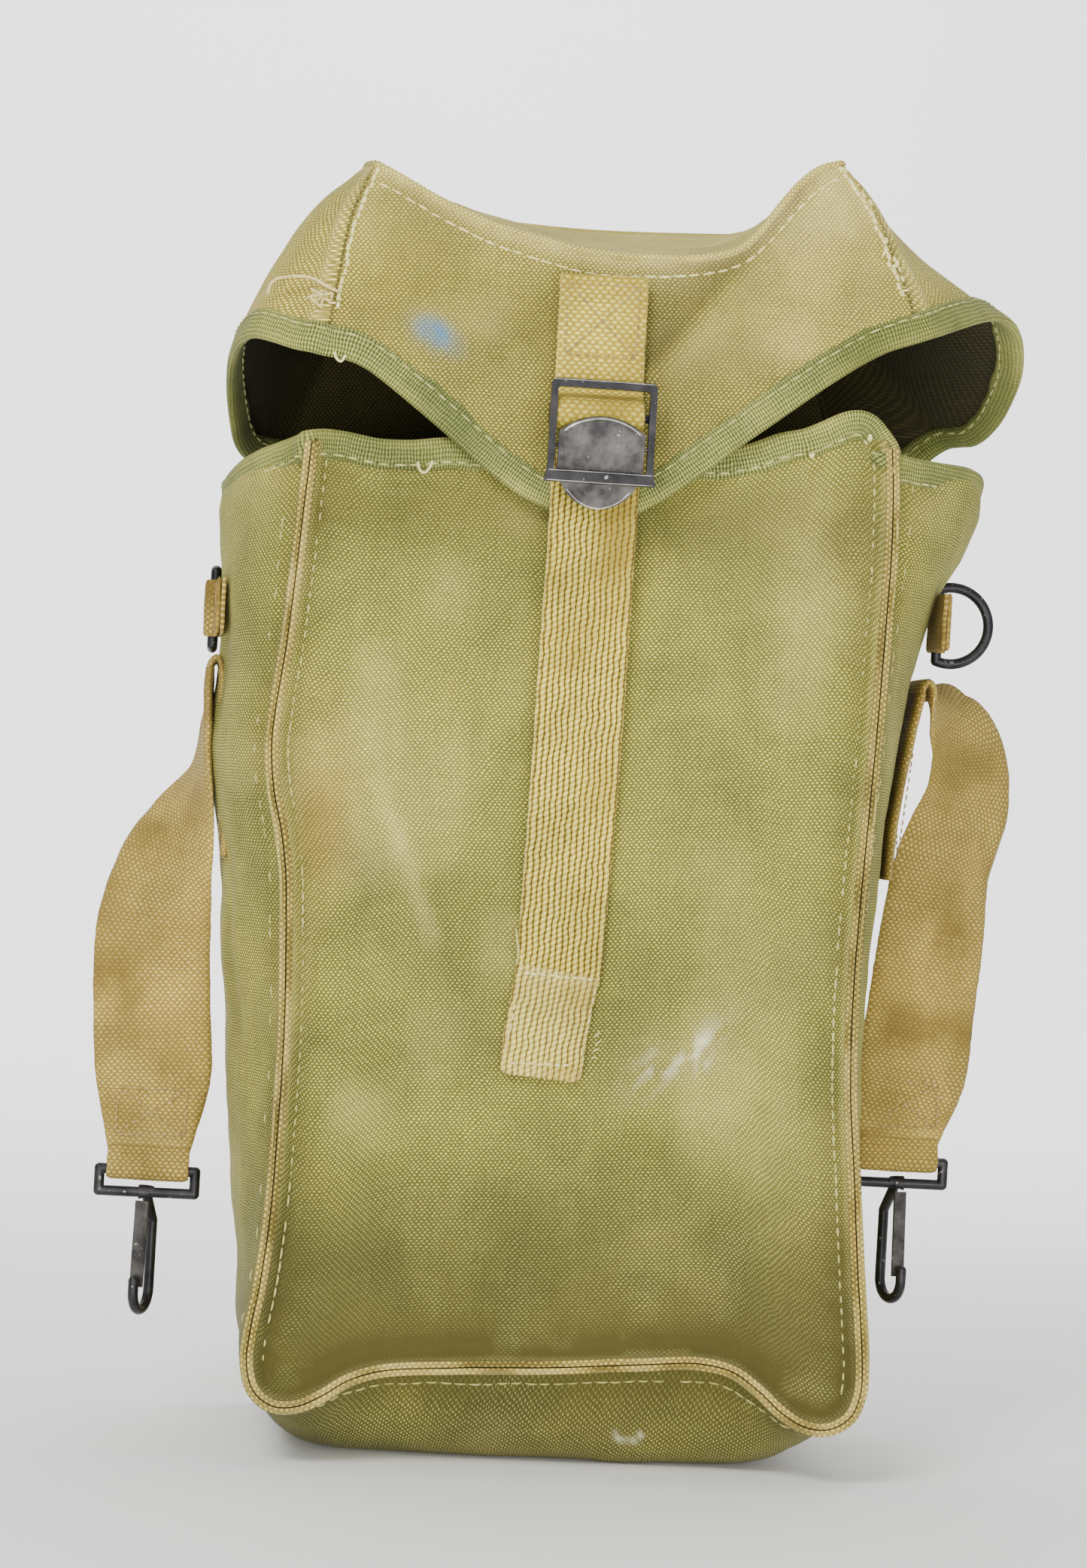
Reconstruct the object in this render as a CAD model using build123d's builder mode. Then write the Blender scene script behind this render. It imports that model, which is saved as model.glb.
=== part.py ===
from build123d import *
import math
import os

# A small box-shaped canvas carrying bag, standing on its own bottom.
# Millimetres.  +Z up, front of the bag towards -Y, origin at the middle of
# the flat underside.

os.makedirs("parts", exist_ok=True)

# ---------------------------------------------------------------- dimensions
canvas_t = 1.6            # heavy canvas with its raw edge turned in
web_t = 1.4               # cotton webbing, one layer
binding_t = 2.6           # tape folded over a canvas edge
binding_h = 8.4           # height of the folded tape

front_y = -54.8           # outer face of the front panel
back_y = 52.8             # outer face of the back panel
half_w = 85.0             # half width of front and back panels
seam_w = 3.6              # width of the standing corner seam
seam_y_front = -60.0      # how far the front seam stands proud
seam_y_back = 56.0        # how far the back seam stands proud
mouth_z = 294.0           # canvas height at the mouth
mouth_top_z = 302.0       # top of the mouth binding
support_y = -22.0         # front limit of the flat underside
back_in_y = 51.0          # rear limit of sides and bottom

side_low_z = 24.0         # where the sides meet the bottom strip
bulge_l_low = 91.0        # left side, widest point at side_low_z
bulge_l_top = 110.0       # left side, widest point at the mouth
bulge_r_low = 91.5
bulge_r_mid = 98.0          # at bulge_mid_z: the right side opens out only near the mouth
bulge_r_top = 114.0
bulge_mid_z = 200.0
side_edge_x = 88.4        # outer face of a side where it meets a seam

hinge_y = 57.5            # fold line of the flap
hinge_z = 301.5
apron_y0 = 59.0           # inner face of the flap's front, as a distance
ridge_l_x, ridge_l_z = -71.0, 386.0
ridge_r_x, ridge_r_z = 66.0, 392.0
ridge_mid_z = 360.5
back_ridge_z = 385.0
flap_back_y0 = 56.6       # inner face of the flap's back

strap_w = 25.4            # closing strap and buckle webbing
strap_x = -2.7            # middle of the closing strap
patch_x = -5.5            # middle of the sewn end
patch_z0, patch_z1 = 117.0, 149.8
strap_z1 = 301.0

buckle_x = -2.0           # middle of the buckle
buckle_w, buckle_z0, buckle_z1 = 31.0, 292.0, 322.0
bar_w_side, bar_h_top, bar_h_low = 2.0, 2.4, 3.2
buckle_y0, buckle_y1 = 69.6, 72.0      # rear and front of the frame, as distances
axle_r = 1.2
axle_y, axle_z = -67.0, 312.0
cam_y, cam_z = -70.8, 302.6
cam_slope = 0.25
cam_t = 1.2
cam_w = 25.2
cam_pin_r = 0.55

ring_wire_r = 1.6
ring_half = 11.2          # half the straight bar, centre line
ring_bow = 16.0
ring_r_x, ring_r_z = 113.5, 260.6
ring_l_x, ring_l_z = -111.4, 252.0
tab_gap = 0.3

carry_w, carry_end_w, carry_t = 36.0, 25.0, 2.8
eye_half = 14.6           # half width of the hook's eye, centre line
hook_wire_r = 1.6
hook_turn = 22.0          # the hook stands this far out of square, degrees
left_hook_x, left_bar_z = -121.9, 78.8
right_hook_x, right_bar_z = 110.4, 92.8
slot_h = 6.8


# ------------------------------------------------------------------- outline
left_low = [(-half_w, 60), (-85.0, 28.0), (-82.2, 20.6), (-76.0, 18.0), (-66.0, 21.4), (-54.0, 28.0), (-30.0, 32.2), (0.0, 33.6)]
right_low = [(0.0, 33.6), (30.0, 33.0), (54.0, 29.8), (66.0, 23.0), (76.0, 18.8), (82.2, 21.6), (85.0, 29.0), (half_w, 60)]
outer_left = [(-88.6, 60), (-88.6, 27.0), (-85.2, 17.6), (-77.0, 14.4), (-64.2, 18.0), (-52.6, 24.6), (-30.0, 28.6), (0.0, 30.0)]
outer_right = [(0.0, 30.0), (30.0, 29.4), (52.6, 26.4), (64.2, 19.6), (77.0, 15.2), (85.2, 18.6), (88.6, 28.0), (88.6, 60)]

# hem of the flap's front, from its left corner to its right corner
hem = [(-81.0, 328.0), (-74.0, 325.2), (-66.0, 320.6), (-56.0, 313.6), (-46.0, 305.6), (-34.8, 296.2), (-15.0, 286.6), (-2.0, 283.4), (12.0, 288.4),
       (30.0, 300.6), (52.0, 318.0), (64.7, 327.6), (75.0, 335.4), (90.0, 342.0)]
hem_up = [(p[0], p[1] + binding_h) for p in hem]

# ------------------------------------------------------------- body of the bag
# front panel, with the bottom seam bowed up in the middle
with BuildPart() as front_panel:
    with BuildSketch(Plane.XZ.offset(-front_y - canvas_t)):
        with BuildLine():
            Line((-half_w, mouth_z), (-half_w, 60))
            Spline(*left_low, tangents=[(0, -1), (1, 0)])
            Spline(*right_low, tangents=[(1, 0), (0, 1)])
            Line((half_w, 60), (half_w, mouth_z))
            Line((half_w, mouth_z), (-half_w, mouth_z))
        make_face()
    extrude(amount=canvas_t)
front_panel.part.label = "front_panel"
export_step(front_panel.part, "parts/front_panel.step")

# standing seam round the front panel
with BuildPart() as front_seam:
    with BuildSketch(Plane.XZ.offset(52.7)):
        with BuildLine():
            Line((-half_w, mouth_z), (-half_w, 60))
            Spline(*left_low, tangents=[(0, -1), (1, 0)])
            Spline(*right_low, tangents=[(1, 0), (0, 1)])
            Line((half_w, 60), (half_w, mouth_z))
            Line((half_w, mouth_z), (half_w + seam_w, mouth_z))
            Line((half_w + seam_w, mouth_z), (half_w + seam_w, 60))
            Spline(*outer_right[::-1], tangents=[(0, -1), (-1, 0)])
            Spline(*outer_left[::-1], tangents=[(-1, 0), (0, 1)])
            Line((-half_w - seam_w, 60), (-half_w - seam_w, mouth_z))
            Line((-half_w - seam_w, mouth_z), (-half_w, mouth_z))
        make_face()
    extrude(amount=-seam_y_front - 52.7)
front_seam.part.label = "front_seam"
export_step(front_seam.part, "parts/front_seam.step")

# back panel, rounded at its lower corners
with BuildPart() as back_panel:
    with BuildSketch(Plane.XZ.offset(-back_y)):
        with BuildLine():
            Line((-half_w, 299.0), (-half_w, 24))
            ThreePointArc((-half_w, 24), (-79.1, 9.9), (-65, 4))
            Line((-65, 4), (65, 4))
            ThreePointArc((65, 4), (79.1, 9.9), (half_w, 24))
            Line((half_w, 24), (half_w, 299.0))
            Line((half_w, 299.0), (-half_w, 299.0))
        make_face()
    extrude(amount=canvas_t)
back_panel.part.label = "back_panel"
export_step(back_panel.part, "parts/back_panel.step")

# standing seam round the back panel
with BuildPart() as back_seam:
    with BuildSketch(Plane.XZ.offset(-seam_y_back)):
        with BuildLine():
            Line((-half_w, 299.0), (-half_w, 24))
            ThreePointArc((-half_w, 24), (-79.1, 9.9), (-65, 4))
            Line((-65, 4), (65, 4))
            ThreePointArc((65, 4), (79.1, 9.9), (half_w, 24))
            Line((half_w, 24), (half_w, 299.0))
            Line((half_w, 299.0), (89, 299.0))
            Line((89, 299.0), (89, 24))
            ThreePointArc((89, 24), (81.97, 7.03), (65, 0))
            Line((65, 0), (-65, 0))
            ThreePointArc((-65, 0), (-81.97, 7.03), (-89, 24))
            Line((-89, 24), (-89, 299.0))
            Line((-89, 299.0), (-half_w, 299.0))
        make_face()
    extrude(amount=seam_y_back - back_in_y - 0.1)
back_seam.part.label = "back_seam"
export_step(back_seam.part, "parts/back_seam.step")

# left side: wider towards the mouth
with BuildPart() as side_panel_left:
    with BuildSketch(Plane.XY.offset(side_low_z + 0.1)):
        with BuildLine():
            ThreePointArc((-side_edge_x, -52.6), (-bulge_l_low, 0), (-side_edge_x, back_in_y))
            Line((-side_edge_x, back_in_y), (-side_edge_x + canvas_t, back_in_y))
            ThreePointArc((-side_edge_x + canvas_t, back_in_y), (-bulge_l_low + canvas_t, 0), (-side_edge_x + canvas_t, -52.6))
            Line((-side_edge_x + canvas_t, -52.6), (-side_edge_x, -52.6))
        make_face()
    with BuildSketch(Plane.XY.offset(mouth_z)):
        with BuildLine():
            ThreePointArc((-side_edge_x, -52.6), (-bulge_l_top, 0), (-side_edge_x, back_in_y))
            Line((-side_edge_x, back_in_y), (-side_edge_x + canvas_t, back_in_y))
            ThreePointArc((-side_edge_x + canvas_t, back_in_y), (-bulge_l_top + canvas_t, 0), (-side_edge_x + canvas_t, -52.6))
            Line((-side_edge_x + canvas_t, -52.6), (-side_edge_x, -52.6))
        make_face()
    loft(ruled=True)
side_panel_left.part.label = "side_panel_left"
export_step(side_panel_left.part, "parts/side_panel_left.step")

# right side
with BuildPart() as side_panel_right:
    with BuildSketch(Plane.XY.offset(side_low_z + 0.1)):
        with BuildLine():
            ThreePointArc((side_edge_x, -52.6), (bulge_r_low, 0), (side_edge_x, back_in_y))
            Line((side_edge_x, back_in_y), (side_edge_x - canvas_t, back_in_y))
            ThreePointArc((side_edge_x - canvas_t, back_in_y), (bulge_r_low - canvas_t, 0), (side_edge_x - canvas_t, -52.6))
            Line((side_edge_x - canvas_t, -52.6), (side_edge_x, -52.6))
        make_face()
    with BuildSketch(Plane.XY.offset(bulge_mid_z)):
        with BuildLine():
            ThreePointArc((side_edge_x, -52.6), (bulge_r_mid, 0), (side_edge_x, back_in_y))
            Line((side_edge_x, back_in_y), (side_edge_x - canvas_t, back_in_y))
            ThreePointArc((side_edge_x - canvas_t, back_in_y), (bulge_r_mid - canvas_t, 0), (side_edge_x - canvas_t, -52.6))
            Line((side_edge_x - canvas_t, -52.6), (side_edge_x, -52.6))
        make_face()
    with BuildSketch(Plane.XY.offset(mouth_z)):
        with BuildLine():
            ThreePointArc((side_edge_x, -52.6), (bulge_r_top, 0), (side_edge_x, back_in_y))
            Line((side_edge_x, back_in_y), (side_edge_x - canvas_t, back_in_y))
            ThreePointArc((side_edge_x - canvas_t, back_in_y), (bulge_r_top - canvas_t, 0), (side_edge_x - canvas_t, -52.6))
            Line((side_edge_x - canvas_t, -52.6), (side_edge_x, -52.6))
        make_face()
    loft(ruled=True)
side_panel_right.part.label = "side_panel_right"
export_step(side_panel_right.part, "parts/side_panel_right.step")

# bottom strip: flat where it stands, sloping up to the bowed front seam
with BuildPart() as bottom_panel:
    with BuildSketch(Plane.XZ.offset(-support_y)):
        with BuildLine():
            ThreePointArc((-90, side_low_z), (-83.6, 7.0), (-66, 0))
            Line((-66, 0), (66, 0))
            ThreePointArc((66, 0), (83.6, 7.0), (90, side_low_z))
            Line((90, side_low_z), (90 - canvas_t, side_low_z))
            ThreePointArc((90 - canvas_t, side_low_z), (82.4, 8.2), (66, canvas_t))
            Line((66, canvas_t), (-66, canvas_t))
            ThreePointArc((-66, canvas_t), (-82.4, 8.2), (-90 + canvas_t, side_low_z))
            Line((-90 + canvas_t, side_low_z), (-90, side_low_z))
        make_face()
    extrude(amount=-(back_in_y - support_y))
    with BuildSketch(Plane.XZ.offset(-support_y)):
        with BuildLine():
            ThreePointArc((-90, side_low_z), (-83.6, 7.0), (-66, 0))
            Line((-66, 0), (66, 0))
            ThreePointArc((66, 0), (83.6, 7.0), (90, side_low_z))
            Line((90, side_low_z), (90 - canvas_t, side_low_z))
            ThreePointArc((90 - canvas_t, side_low_z), (82.4, 8.2), (66, canvas_t))
            Line((66, canvas_t), (-66, canvas_t))
            ThreePointArc((-66, canvas_t), (-82.4, 8.2), (-90 + canvas_t, side_low_z))
            Line((-90 + canvas_t, side_low_z), (-90, side_low_z))
        make_face()
    with BuildSketch(Plane.XZ.offset(52.6)):
        with BuildLine():
            ThreePointArc((-88.4, side_low_z), (-83.0, 16.2), (-72, 15.0))
            ThreePointArc((-72, 15.0), (0, 30.0), (72, 16.0))
            ThreePointArc((72, 16.0), (83.0, 17.2), (88.4, side_low_z))
            Line((88.4, side_low_z), (88.4 - canvas_t, side_low_z))
            ThreePointArc((88.4 - canvas_t, side_low_z), (81.8, 18.6), (72, 16.0 + canvas_t))
            ThreePointArc((72, 16.0 + canvas_t), (0, 30.0 + canvas_t), (-72, 15.0 + canvas_t))
            ThreePointArc((-72, 15.0 + canvas_t), (-81.8, 17.6), (-88.4 + canvas_t, side_low_z))
            Line((-88.4 + canvas_t, side_low_z), (-88.4, side_low_z))
        make_face()
    loft(ruled=True)
bottom_panel.part.label = "bottom_panel"
export_step(bottom_panel.part, "parts/bottom_panel.step")

# tape bound round the mouth: left side, front and right side
with BuildPart() as mouth_binding:
    with BuildSketch(Plane.XY.offset(mouth_z + 0.05)):
        with BuildLine():
            ThreePointArc((-89.2, 51.0), (-bulge_l_top - 0.8, 0), (-89.2, -52.6))
            Line((-89.2, -52.6), (-89.2, -55.6))
            Line((-89.2, -55.6), (89.2, -55.6))
            Line((89.2, -55.6), (89.2, -52.6))
            ThreePointArc((89.2, -52.6), (bulge_r_top + 0.8, 0), (89.2, 51.0))
            Line((89.2, 51.0), (86.0, 51.0))
            ThreePointArc((86.0, 51.0), (bulge_r_top - 2.4, 0), (86.0, -52.4))
            Line((86.0, -52.4), (-86.0, -52.4))
            ThreePointArc((-86.0, -52.4), (-bulge_l_top + 2.4, 0), (-86.0, 51.0))
            Line((-86.0, 51.0), (-89.2, 51.0))
        make_face()
    extrude(amount=mouth_top_z - mouth_z - 0.05)
mouth_binding.part.label = "mouth_binding"
export_step(mouth_binding.part, "parts/mouth_binding.step")

# ----------------------------------------------------------------- the flap
with BuildPart() as flap_back:
    with BuildSketch(Plane.XZ.offset(-flap_back_y0 - canvas_t)):
        with BuildLine():
            Polyline((-91, hinge_z + 1.5), (91, hinge_z + 1.5), (66, back_ridge_z), (-70, back_ridge_z), (-91, hinge_z + 1.5))
        make_face()
    extrude(amount=canvas_t)
flap_back.part.label = "flap_back"
export_step(flap_back.part, "parts/flap_back.step")

# top, straight at the back and sagging between its two front corners
with BuildPart() as flap_top:
    with BuildSketch(Plane.XZ.offset(-flap_back_y0 + 0.1)):
        with BuildLine():
            ThreePointArc((-70, back_ridge_z), (-2, back_ridge_z - 2), (66, back_ridge_z))
            Line((66, back_ridge_z), (66, back_ridge_z - canvas_t))
            ThreePointArc((66, back_ridge_z - canvas_t), (-2, back_ridge_z - 2 - canvas_t), (-70, back_ridge_z - canvas_t))
            Line((-70, back_ridge_z - canvas_t), (-70, back_ridge_z))
        make_face()
    with BuildSketch(Plane.XZ.offset(apron_y0 - 0.1)):
        with BuildLine():
            ThreePointArc((ridge_l_x, ridge_l_z), (2, ridge_mid_z), (ridge_r_x, ridge_r_z))
            Line((ridge_r_x, ridge_r_z), (ridge_r_x, ridge_r_z - canvas_t))
            ThreePointArc((ridge_r_x, ridge_r_z - canvas_t), (2, ridge_mid_z - canvas_t), (ridge_l_x, ridge_l_z - canvas_t))
            Line((ridge_l_x, ridge_l_z - canvas_t), (ridge_l_x, ridge_l_z))
        make_face()
    loft(ruled=True)
flap_top.part.label = "flap_top"
export_step(flap_top.part, "parts/flap_top.step")

# front of the flap, down to its pointed hem
with BuildPart() as flap_front:
    with BuildSketch(Plane.XZ.offset(apron_y0)):
        with BuildLine():
            ThreePointArc((ridge_l_x, ridge_l_z), (2, ridge_mid_z), (ridge_r_x, ridge_r_z))
            Line((ridge_r_x, ridge_r_z), hem_up[-1])
            Polyline(*hem_up[::-1])
            Line(hem_up[0], (ridge_l_x, ridge_l_z))
        make_face()
    extrude(amount=canvas_t)
flap_front.part.label = "flap_front"
export_step(flap_front.part, "parts/flap_front.step")

with BuildPart() as flap_binding_front:
    with BuildSketch(Plane.XZ.offset(apron_y0 - 0.5)):
        with BuildLine():
            Polyline(*hem)
            Line(hem[-1], (hem[-1][0], hem_up[-1][1] - 0.05))
            Polyline(*[(p[0], p[1] - 0.05) for p in hem_up[::-1]])
            Line((hem[0][0], hem_up[0][1] - 0.05), hem[0])
        make_face()
    extrude(amount=binding_t)
flap_binding_front.part.label = "flap_binding_front"
export_step(flap_binding_front.part, "parts/flap_binding_front.step")

# left wing of the flap: slopes out from the ridge to the hem
wing_l_hem = [(-58.8, 328.0), (0.0, 330.0), (30.0, 318.0), (56.4, 306.0)]
with BuildPart() as flap_wing_left:
    with BuildSketch(Plane.XY.offset(383.0)):
        with BuildLine():
            ThreePointArc((-71.0, -58.8), (-72.5, 0), (-70.0, 56.4))
            Line((-70.0, 56.4), (-68.4, 56.4))
            ThreePointArc((-68.4, 56.4), (-70.9, 0), (-69.4, -58.8))
            Line((-69.4, -58.8), (-71.0, -58.8))
        make_face()
    with BuildSketch(Plane.XY.offset(334.0)):
        with BuildLine():
            ThreePointArc((-81.6, -58.8), (-110.5, 0), (-85.0, 56.4))
            Line((-85.0, 56.4), (-83.4, 56.4))
            ThreePointArc((-83.4, 56.4), (-108.9, 0), (-80.0, -58.8))
            Line((-80.0, -58.8), (-81.6, -58.8))
        make_face()
    with BuildSketch(Plane.XY.offset(303.0)):
        with BuildLine():
            ThreePointArc((-84.0, -58.8), (-111.5, 0), (-93.0, 56.4))
            Line((-93.0, 56.4), (-91.4, 56.4))
            ThreePointArc((-91.4, 56.4), (-109.9, 0), (-82.4, -58.8))
            Line((-82.4, -58.8), (-84.0, -58.8))
        make_face()
    loft(ruled=True)
    with BuildSketch(Plane.YZ):
        with BuildLine():
            Polyline((-62, 300), (-62, 328.0 + binding_h), (-58.8, 328.0 + binding_h), (0, 330 + binding_h), (30, 318 + binding_h),
                     (56.4, 306 + binding_h), (60, 304.5 + binding_h), (60, 300), (-62, 300))
        make_face()
    extrude(amount=160, both=True, mode=Mode.SUBTRACT)
flap_wing_left.part.label = "flap_wing_left"
export_step(flap_wing_left.part, "parts/flap_wing_left.step")

with BuildPart() as flap_binding_left:
    with BuildSketch(Plane.XY.offset(383.0)):
        with BuildLine():
            ThreePointArc((-71.8, -58.0), (-73.3, 0), (-70.8, 56.4))
            Line((-70.8, 56.4), (-67.6, 56.4))
            ThreePointArc((-67.6, 56.4), (-70.1, 0), (-68.6, -58.0))
            Line((-68.6, -58.0), (-71.8, -58.0))
        make_face()
    with BuildSketch(Plane.XY.offset(334.0)):
        with BuildLine():
            ThreePointArc((-82.4, -58.0), (-111.3, 0), (-85.8, 56.4))
            Line((-85.8, 56.4), (-82.6, 56.4))
            ThreePointArc((-82.6, 56.4), (-108.1, 0), (-79.2, -58.0))
            Line((-79.2, -58.0), (-82.4, -58.0))
        make_face()
    with BuildSketch(Plane.XY.offset(303.0)):
        with BuildLine():
            ThreePointArc((-84.8, -58.0), (-112.3, 0), (-93.8, 56.4))
            Line((-93.8, 56.4), (-90.6, 56.4))
            ThreePointArc((-90.6, 56.4), (-109.1, 0), (-81.6, -58.0))
            Line((-81.6, -58.0), (-84.8, -58.0))
        make_face()
    loft(ruled=True)
    with BuildSketch(Plane.YZ):
        with BuildLine():
            Polyline((-62, 300), (-62, 328.0), (-58.8, 328.0), (0, 330), (30, 318), (56.4, 306), (60, 304.5), (60, 300), (-62, 300))
        make_face()
        with BuildLine():
            Polyline((-62, 390), (-62, 327.95 + binding_h), (-58.8, 327.95 + binding_h), (0, 329.95 + binding_h), (30, 317.95 + binding_h),
                     (56.4, 305.95 + binding_h), (60, 304.45 + binding_h), (60, 390), (-62, 390))
        make_face()
    extrude(amount=160, both=True, mode=Mode.SUBTRACT)
flap_binding_left.part.label = "flap_binding_left"
export_step(flap_binding_left.part, "parts/flap_binding_left.step")

# right wing: stands out further, its hem rolling outwards
with BuildPart() as flap_wing_right:
    with BuildSketch(Plane.XY.offset(383.0)):
        with BuildLine():
            ThreePointArc((69.0, -58.8), (73.0, 0), (67.0, 56.4))
            Line((67.0, 56.4), (65.4, 56.4))
            ThreePointArc((65.4, 56.4), (71.4, 0), (67.4, -58.8))
            Line((67.4, -58.8), (69.0, -58.8))
        make_face()
    with BuildSketch(Plane.XY.offset(348.0)):
        with BuildLine():
            ThreePointArc((90.6, -58.8), (126.0, 0), (82.0, 56.4))
            Line((82.0, 56.4), (80.4, 56.4))
            ThreePointArc((80.4, 56.4), (124.4, 0), (89.0, -58.8))
            Line((89.0, -58.8), (90.6, -58.8))
        make_face()
    with BuildSketch(Plane.XY.offset(303.0)):
        with BuildLine():
            ThreePointArc((96.0, -58.8), (130.0, 0), (93.0, 56.4))
            Line((93.0, 56.4), (91.4, 56.4))
            ThreePointArc((91.4, 56.4), (128.4, 0), (94.4, -58.8))
            Line((94.4, -58.8), (96.0, -58.8))
        make_face()
    loft(ruled=True)
    with BuildSketch(Plane.YZ):
        with BuildLine():
            Polyline((-62, 300), (-62, 342.2 + binding_h), (-58.8, 342.2 + binding_h), (-30, 349 + binding_h), (0, 345 + binding_h), (30, 327 + binding_h),
                     (56.4, 306 + binding_h), (60, 304 + binding_h), (60, 300), (-62, 300))
        make_face()
    extrude(amount=160, both=True, mode=Mode.SUBTRACT)
flap_wing_right.part.label = "flap_wing_right"
export_step(flap_wing_right.part, "parts/flap_wing_right.step")

with BuildPart() as flap_binding_right:
    with BuildSketch(Plane.XY.offset(383.0)):
        with BuildLine():
            ThreePointArc((69.8, -58.0), (73.8, 0), (67.8, 56.4))
            Line((67.8, 56.4), (64.6, 56.4))
            ThreePointArc((64.6, 56.4), (70.6, 0), (66.6, -58.0))
            Line((66.6, -58.0), (69.8, -58.0))
        make_face()
    with BuildSketch(Plane.XY.offset(348.0)):
        with BuildLine():
            ThreePointArc((91.4, -58.0), (126.8, 0), (82.8, 56.4))
            Line((82.8, 56.4), (79.6, 56.4))
            ThreePointArc((79.6, 56.4), (123.6, 0), (88.2, -58.0))
            Line((88.2, -58.0), (91.4, -58.0))
        make_face()
    with BuildSketch(Plane.XY.offset(303.0)):
        with BuildLine():
            ThreePointArc((96.8, -58.0), (130.8, 0), (93.8, 56.4))
            Line((93.8, 56.4), (90.6, 56.4))
            ThreePointArc((90.6, 56.4), (127.6, 0), (93.6, -58.0))
            Line((93.6, -58.0), (96.8, -58.0))
        make_face()
    loft(ruled=True)
    with BuildSketch(Plane.YZ):
        with BuildLine():
            Polyline((-62, 300), (-62, 342.2), (-58.8, 342.2), (-30, 349), (0, 345), (30, 327), (56.4, 306), (60, 304), (60, 300), (-62, 300))
        make_face()
        with BuildLine():
            Polyline((-62, 390), (-62, 342.15 + binding_h), (-58.8, 342.15 + binding_h), (-30, 348.95 + binding_h), (0, 344.95 + binding_h), (30, 326.95 + binding_h),
                     (56.4, 305.95 + binding_h), (60, 303.95 + binding_h), (60, 390), (-62, 390))
        make_face()
    extrude(amount=160, both=True, mode=Mode.SUBTRACT)
flap_binding_right.part.label = "flap_binding_right"
export_step(flap_binding_right.part, "parts/flap_binding_right.step")

# webbing sewn to the flap, its end looped round the buckle's axle
with BuildPart() as flap_strap:
    with BuildSketch(Plane.YZ.offset(buckle_x - 0.5 - strap_w / 2)):
        with BuildLine():
            Polyline((-60.7, 353), (-63.5, 353), (-63.5, 320), (-66.0, 317.4), (-67.0, 316.4), (-67.0, 313.5), (-63.0, 313.5), (-60.7, 317.4), (-60.7, 353))
        make_face()
        with Locations((axle_y, axle_z)):
            Circle(4.4)
            Circle(axle_r + 0.3, mode=Mode.SUBTRACT)
    extrude(amount=strap_w)
flap_strap.part.label = "flap_strap"
export_step(flap_strap.part, "parts/flap_strap.step")

# ----------------------------------------------------------------- buckle
with BuildPart() as buckle_frame:
    with BuildSketch(Plane.XZ.offset(buckle_y0)):
        with BuildLine():
            Polyline((buckle_x - buckle_w / 2 - 0.8, buckle_z0), (buckle_x + buckle_w / 2 + 0.8, buckle_z0), (buckle_x + buckle_w / 2, buckle_z0 + bar_h_low + 1),
                     (buckle_x + buckle_w / 2, buckle_z1 - 1.2), (buckle_x + buckle_w / 2 - 1.2, buckle_z1), (buckle_x - buckle_w / 2 + 1.2, buckle_z1),
                     (buckle_x - buckle_w / 2, buckle_z1 - 1.2), (buckle_x - buckle_w / 2, buckle_z0 + bar_h_low + 1), (buckle_x - buckle_w / 2 - 0.8, buckle_z0))
        make_face()
        with Locations((buckle_x, (buckle_z0 + bar_h_low + buckle_z1 - bar_h_top) / 2)):
            RectangleRounded(buckle_w - 2 * bar_w_side, buckle_z1 - bar_h_top - buckle_z0 - bar_h_low, 1.0, mode=Mode.SUBTRACT)
    extrude(amount=buckle_y1 - buckle_y0)
    # side cheeks that carry the axle behind the frame
    with BuildSketch(Plane.YZ.offset(buckle_x - buckle_w / 2)):
        with Locations((-67.6, axle_z)):
            Rectangle(4.4, 6.0)
    extrude(amount=1.6)
    with BuildSketch(Plane.YZ.offset(buckle_x + buckle_w / 2 - 1.6)):
        with Locations((-67.6, axle_z)):
            Rectangle(4.4, 6.0)
    extrude(amount=1.6)
    # holes for the axle and for the cam's pivots
    with BuildSketch(Plane.YZ.offset(buckle_x)):
        with Locations((axle_y, axle_z)):
            Circle(axle_r)
        with Locations((cam_y, cam_z)):
            Circle(cam_pin_r + 0.05)
    extrude(amount=40, both=True, mode=Mode.SUBTRACT)
buckle_frame.part.label = "buckle_frame"
export_step(buckle_frame.part, "parts/buckle_frame.step")

with BuildPart() as buckle_axle:
    with BuildSketch(Plane.YZ.offset(buckle_x - buckle_w / 2)):
        with Locations((axle_y, axle_z)):
            Circle(axle_r)
    extrude(amount=buckle_w)
buckle_axle.part.label = "buckle_axle"
export_step(buckle_axle.part, "parts/buckle_axle.step")

# cam plate: arched top edge, rounded tab below, pins into the side bars
cam_plane = Plane(origin=(buckle_x, cam_y + cam_t * 0.5, cam_z), x_dir=(1, 0, 0), z_dir=(0, -1, -cam_slope))
with BuildPart() as buckle_cam:
    with BuildSketch(cam_plane):
        with BuildLine():
            ThreePointArc((-cam_w / 2, 4.4), (0, 9.2), (cam_w / 2, 4.4))
            Line((cam_w / 2, 4.4), (cam_w / 2, -6.8))
            Line((cam_w / 2, -6.8), (cam_w / 2 - 0.9, -9.2))
            ThreePointArc((cam_w / 2 - 0.9, -9.2), (0, -17.9), (-cam_w / 2 + 0.9, -9.2))
            Line((-cam_w / 2 + 0.9, -9.2), (-cam_w / 2, -6.8))
            Line((-cam_w / 2, -6.8), (-cam_w / 2, 4.4))
        make_face()
    extrude(amount=cam_t)
    with BuildSketch(Plane.YZ.offset(buckle_x - buckle_w / 2)):
        with Locations((cam_y, cam_z)):
            Circle(cam_pin_r)
    extrude(amount=buckle_w)
buckle_cam.part.label = "buckle_cam"
export_step(buckle_cam.part, "parts/buckle_cam.step")

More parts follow.
